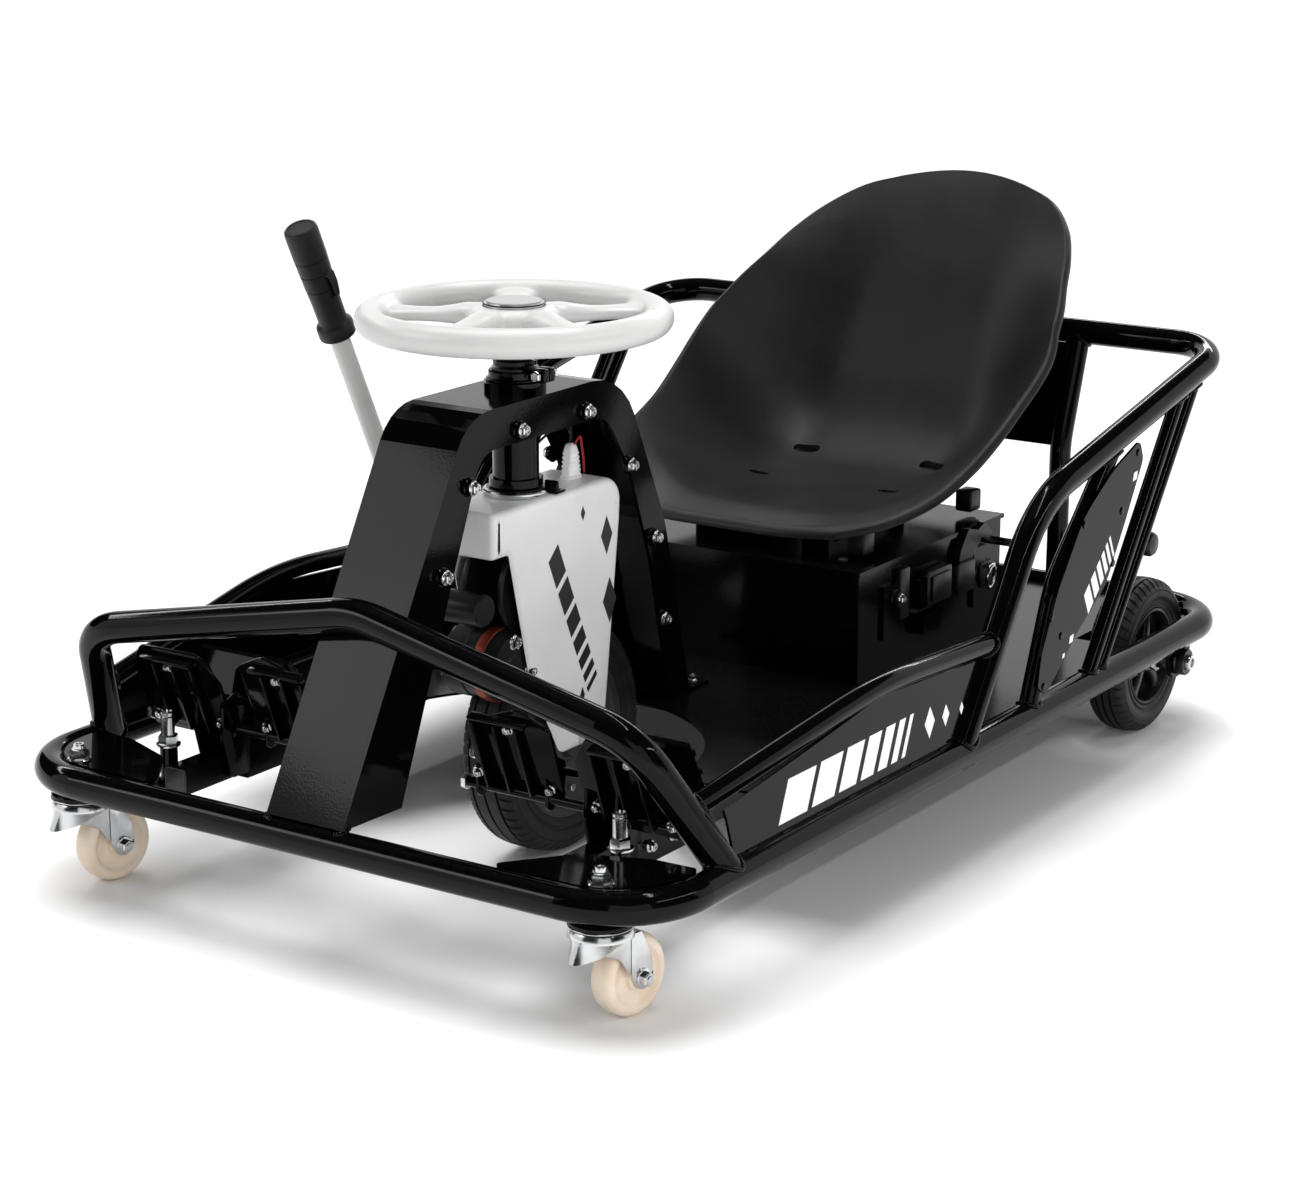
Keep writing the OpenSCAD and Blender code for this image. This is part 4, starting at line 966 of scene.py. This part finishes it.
def bars_along(spot, way, widths, half, low, high, gap):
    """Slanted bars side by side along way; low and high shift their lower and upper ends."""
    up = Vector((-way.y, way.x))
    bars = []
    for wide in widths:
        after = spot + way * wide
        low_end, high_end = way * low - up * half, way * high + up * half
        bars.append([spot + low_end, after + low_end, after + high_end, spot + high_end])
        spot = after + way * gap
    return bars


def make_stickers():
    """Plain bars and diamonds on the low sheets, the leaf-shaped sheets and the fork."""
    bars, y = [], 226
    for wide in (52, 42, 33, 25, 18, 12, 7):
        z = 150 + (y - 226) * 0.012
        bars.append([(y, z), (y + wide, z), (y + wide + 17, z + 42), (y + 17, z + 42)])
        y += wide + 9
    for y, z, r in ((520, 176, 17), (554, 175, 12), (588, 174, 7)):
        bars.append(diamond(Vector((y, z)), Vector((r * 0.62, 0)), Vector((0, r))))
    sticker(bars, 394.55, "side_stripes", "chassis", "print_white", "moulded_white")
    way = Vector((0.74, 0.67))
    bars = bars_along(Vector((846, 226)), way, (16, 13, 10, 8, 6, 4), 13, 0, 7, 5)
    for y, z, r in ((815, 197, 7), (797, 182, 4), (962, 352, 8)):
        bars.append(diamond(Vector((y, z)), way * r, Vector((-way.y, way.x)) * r * 0.7))
    sticker(bars, 407.15, "leaf_stripes", "chassis", "print_white", "moulded_white")
    way = Vector((76, -172)).normalized()
    bars = bars_along(Vector((350, 344)), way, (34, 28, 22, 17, 13, 9, 6), 11, 8, 0, 7)
    for y, z, r in ((448, 340, 21), (453, 268, 25), (405, 372, 8), (402, 175, 9)):
        bars.append(diamond(Vector((y, z)), Vector((r * 0.5, 0)), Vector((0, r))))
    sticker(bars, 42.03, "fork_bars", "steering", "print_black", "rim_black")


def make_foot_details():
    """Studs on lugs beside the foot rails, a cross rod, and the rails' end caps."""
    lugs, bright = Shape(), Shape()
    stud = stand((286, 118, 0), Z)
    lugs.slab(rounded([(262, 100, 3), (302, 100, 12), (302, 134, 12), (262, 134, 3)], 20), 96, 100, None, 0.6)
    lugs.lathe([(9.4, 100.1), (9.4, 137)], stud, 28)
    bright.lathe([(13, 137.1), (13, 139), (10.6, 140)], stud, 28)
    bright.hexagon(stud, 19, 10, 139.4)
    bright.lathe([(7.4, 149), (7.4, 168), (6.6, 169), (7.4, 170), (7.4, 173), (5.4, 174), (4.4, 171),
                  (0.4, 171)], stud, 28)
    for y in (196, 236):
        bright.flange_bolt((266.6, y, 113), X, 9, 5)
    caps = Shape()
    caps.slab(rounded([(234.6, 100, 3), (261.4, 100, 3), (261.4, 126.8, 3), (234.6, 126.8, 3)], 20), 0, 4,
              Matrix(((1, 0, 0, 0), (0, 0, 1, 83.9), (0, 1, 0, 0), (0, 0, 0, 1))), 0.8)
    lugs.tube([(196, 262, 150), (300, 262, 150)], 4.5, 16)
    lugs.both().make("foot_lugs", "chassis", "frame_black")
    bright.both().make("foot_studs", "chassis", "zinc")
    caps.both().make("rail_caps", "chassis", "motor_grey")


def make_toe_plates():
    """Ribbed plates ahead of the foot rests, on two rods and a pair of brackets."""
    sheets, bright = Shape(), Shape()
    lean = Vector((0, 0.94, 0.34))
    outer = [(-58, 50, 8), (54, 50, 8), (56, -30, 6), (40, -52, 10), (-40, -52, 10), (-60, -20, 6)]
    inner = [(-48, 46, 8), (54, 46, 8), (56, -40, 10), (20, -56, 14), (-46, -30, 12)]
    for place, outline in (((284, 138, 190), outer), ((140, 142, 198), inner)):
        m = stand(place, lean, X)
        sheets.slab(rounded(outline, 20), 0, 4, m, 0.7)
        sheets.block((-34, -46, -11), (34, -42, 0.5), 1, m)
        for x in (-34, -8, 18):
            sheets.block((x, -38, -9), (x + 3.5, 42, 0.5), 1, m)
        for x, y in ((-46, 30), (40, 34), (6, -32)):
            bright.flange_bolt(m @ Vector((x, y, -0.2)), -lean, 9, 4)
    for y, z, r in ((154, 156, 5), (168, 182, 4)):
        sheets.tube([(80, y, z), (336, y, z)], r, 18)
        bright.hexagon(stand((336, y, z), X), 3 * r, 6)
        bright.hexagon(stand((80, y, z), -X), 3 * r, 6)
    tall = [(150, 102, 6), (178, 102, 6), (184, 178, 8), (164, 194, 8), (142, 186, 8), (138, 150, 12)]
    short = [(148, 140, 8), (176, 150, 8), (180, 188, 8), (150, 206, 8)]
    for x, outline in ((228, tall), (264, tall), (92, short), (176, short)):
        sheets.slab(rounded(outline, 20), x, x + 4, SIDE_ON, 0.7)
    sheets.both().make("toe_plates", "chassis", "sheet_black")
    bright.both().make("toe_bolts", "chassis", "zinc")


def make_side_tubes():
    """Bent tubes along the sides, let into the front legs and the rear braces."""
    low, knee, high = Vector((366.5, 107, 192)), Vector((RAIL_X, 419, 243)), Vector((RAIL_X, 660, 228))
    bend = [knee + (low - knee).normalized() * 70, knee, knee + (high - knee).normalized() * 70]
    curve = [bend[0].lerp(knee, k / 12).lerp(knee.lerp(bend[2], k / 12), k / 12) for k in range(13)]
    Shape().tube([low] + curve + [high], SIDE_R, 28).both().make(
        "side_tube_runs", "chassis", "frame_black", 40, stands_for=("side_tubes",))


def make_welds():
    """Beads where the tubes meet, at the column's foot and along the low side sheets."""
    beads = Shape()
    rail = ((RAIL_X, 0, RAIL_Z), Y, RAIL_R)
    hoop = ((RAIL_X, 750, 360), (0, 474, 96), HOOP_R)

    def joint(a, b, branch, main):
        """The bead of a tube that comes from a towards b and meets the main tube."""
        beads.cope_bead(a, Vector(b) - Vector(a), branch, *main)

    joint((338, 66, 267), (RAIL_X, 143, RAIL_Z), 16.2, rail)
    joint((RAIL_X, 750, 360), (RAIL_X, 586, RAIL_Z), HOOP_R, rail)
    joint((RAIL_X, 796, 262), (RAIL_X, 740, RAIL_Z), 11, rail)
    joint((RAIL_X, 796, 262), (RAIL_X, 940, 399), 11, hoop)
    for low, high in ((879, 1111), (905, 1150)):
        top = 360 + (high - 750) * 96 / 474
        joint((RAIL_X, high, top), (RAIL_X, low, RAIL_Z), STRUT_R, rail)
        joint((RAIL_X, low, RAIL_Z), (RAIL_X, high, top), STRUT_R, hoop)
    joint((205, 1180, 325), (205, 1224, 456), BACK_R, ((0, 1224, 456), X, HOOP_R))
    joint((RAIL_X, 419, 243), (366.5, 107, 192), SIDE_R, ((RAIL_X, 143, RAIL_Z), (-55, -77, 143), RAIL_R))
    joint((RAIL_X, 419, 243), (RAIL_X, 656, 228), SIDE_R, ((RAIL_X, 586, RAIL_Z), (0, 164, 236), HOOP_R))
    beads.bead(ring(13.6, stand((205, 1180, 131), Z)), 2.4, ring=True)
    beads.bead([(47, -2 + q * 3, 140.5 + 0.35 * q * q) for q in range(5)], 3.0)
    beads.bead([(39, -6, 138.6), (47, -4, 140), (49, 0, 141.6)], 3.2)
    for y in range(170, 600, 62):
        beads.bead([(394.8, y, 140.2), (394.8, y + 16, 140.2)], 1.8)
    beads.both().make("weld_beads", "chassis", "frame_black", 60)


def make_box_details():
    """Socket, latches, hooks and rings on the box's sides, lid bolts, and the seat's front and rear feet."""
    black, bright = Shape(), Shape()
    black.block((190.2, 806, 186), (197, 828, 246), 2)
    black.lathe([(12, 0), (12, 3), (9, 5), (8.4, 10)], stand((190, 801, 214), X), 28)
    black.block((190.2, 858, 190), (203, 918, 232), 4)
    black.block((203, 866, 196), (206, 910, 226), 2)
    black.block((190.2, 930, 188), (204, 972, 226), 3)
    hook = rounded([(940, 226, 3), (968, 222, 3), (996, 246, 6), (1012, 236, 3), (1020, 248, 3),
                    (1002, 262, 4), (985, 256, 6), (962, 262, 4), (944, 240, 3)])
    black.skin([[(x, *p) for p in hook] for x in (190.2, 199)])
    black.block((190.2, 1000, 180), (196, 1030, 212), 3)
    for y in (740, 1040):
        black.lathe([(6, 0), (6, 2), (4, 3)], stand((159.6, y, 266), Z), 20)
    bright.flange_bolt((200, 801, 214), X, 9, 4)
    bright.tube([(201 + 1.5 * math.sin(a), 1016 + 9 * math.cos(a), 193 + 13 * math.sin(a))
                 for a in turns(36)], 2.2, 10, ring=True)
    bright.block((196, 1008, 204), (203, 1024, 209), 1.4)
    bright.lathe([(5, 0), (5, 46), (4, 47)], stand((190, 1040, 231), X), 20)
    black.both().make("box_latches", "chassis", "rim_black", bevel=0.3)
    bright.both().make("box_rings", "chassis", "zinc")
    straps = Shape()
    for y in (764, 1016):
        straps.block((150, y, 266.2), (172, y + 26, 292), 3)
    straps.both().make("seat_feet", "chassis", "rim_black")


def make_leaf_details():
    """Rivets of the leaf-shaped sheets, and a round cap with its clip on each rear strut."""
    rivets = Shape()
    for y, z in ((968, 378), (931, 318), (912, 262), (790, 206), (752, 158), (838, 321), (766, 232)):
        rivets.lathe([(4.6, 0), (4.6, 0.8), (3.4, 1.6), (0.4, 1.7)], stand((407.1, y, z), X), 20)
    rivets.both().make("leaf_rivets", "chassis", "frame_black")
    knob = Shape()
    knob.lathe([(5, -6), (5, 0), (13, 0.5), (14.5, 3), (14.5, 13), (12, 17), (5, 18.5), (0.5, 18.6)],
               stand((384, 1034, 256.5), X), 36)
    knob.block((379, 998, 247), (385.4, 1042, 265), 3)
    knob.both().make("charge_caps", "chassis", "rim_black")


def make_lever_details():
    """Ribbed grip with its finger guard, and the foot's collar."""
    foot, tip = Vector((-330, 624, 176)), Vector((-330, 404, 640))
    way = (tip - foot).normalized()
    m = stand(tip - way * 140, way, X)
    grip = Shape()
    grip.lathe([(0.5, 0), (19, 0), (20.6, 0.8), (21, 3), (21, 13), (20.2, 15.6), (18.2, 17.4), (16.6, 19),
                (16.2, 24), (16.4, 44), (17.2, 62), (17.2, 63), (16.4, 64), (17.6, 65.4), (18.0, 82),
                (17.0, 83.2), (18.2, 84.6), (18.6, 100), (17.8, 101), (18.8, 102.2), (19, 134), (18.2, 138),
                (16.4, 139.7), (14, 140), (13.6, 139.2), (0.5, 139.2)], m, 56)
    grip.skin([squashed(m @ Vector((x, 0, h)), (m.to_3x3() @ Y), way, half, 2.2, 0.6, 16)
               for x, h, half in ((14, 84, 6.5), (21, 82, 6), (22.6, 70, 5), (20.8, 56, 4.4), (14, 50, 4.4))])
    grip.make("grip_moulding", "lever", "grip_black", 34, stands_for=("lever_grip",))
    collar = Shape().lathe([(11.6, 40), (15, 40), (16, 42), (16, 56), (15, 58), (11.6, 58)],
                           stand(foot, way, X), 36, round_trip=True)
    collar.make("lever_collar", "lever", "rim_black")


dress_nodes()
make_seat()
make_steering_wheel()
make_fork()
rear_wheel(1, "left")
rear_wheel(-1, "right")
make_axle_bolts()
make_drive_wheel()
caster(1, "left", 9)
caster(-1, "right", 10)
make_caster_heads()
make_column_details()
make_steering_details()
make_motor()
make_stickers()
make_side_tubes()
make_foot_details()
make_toe_plates()
make_welds()
make_box_details()
make_leaf_details()
make_lever_details()
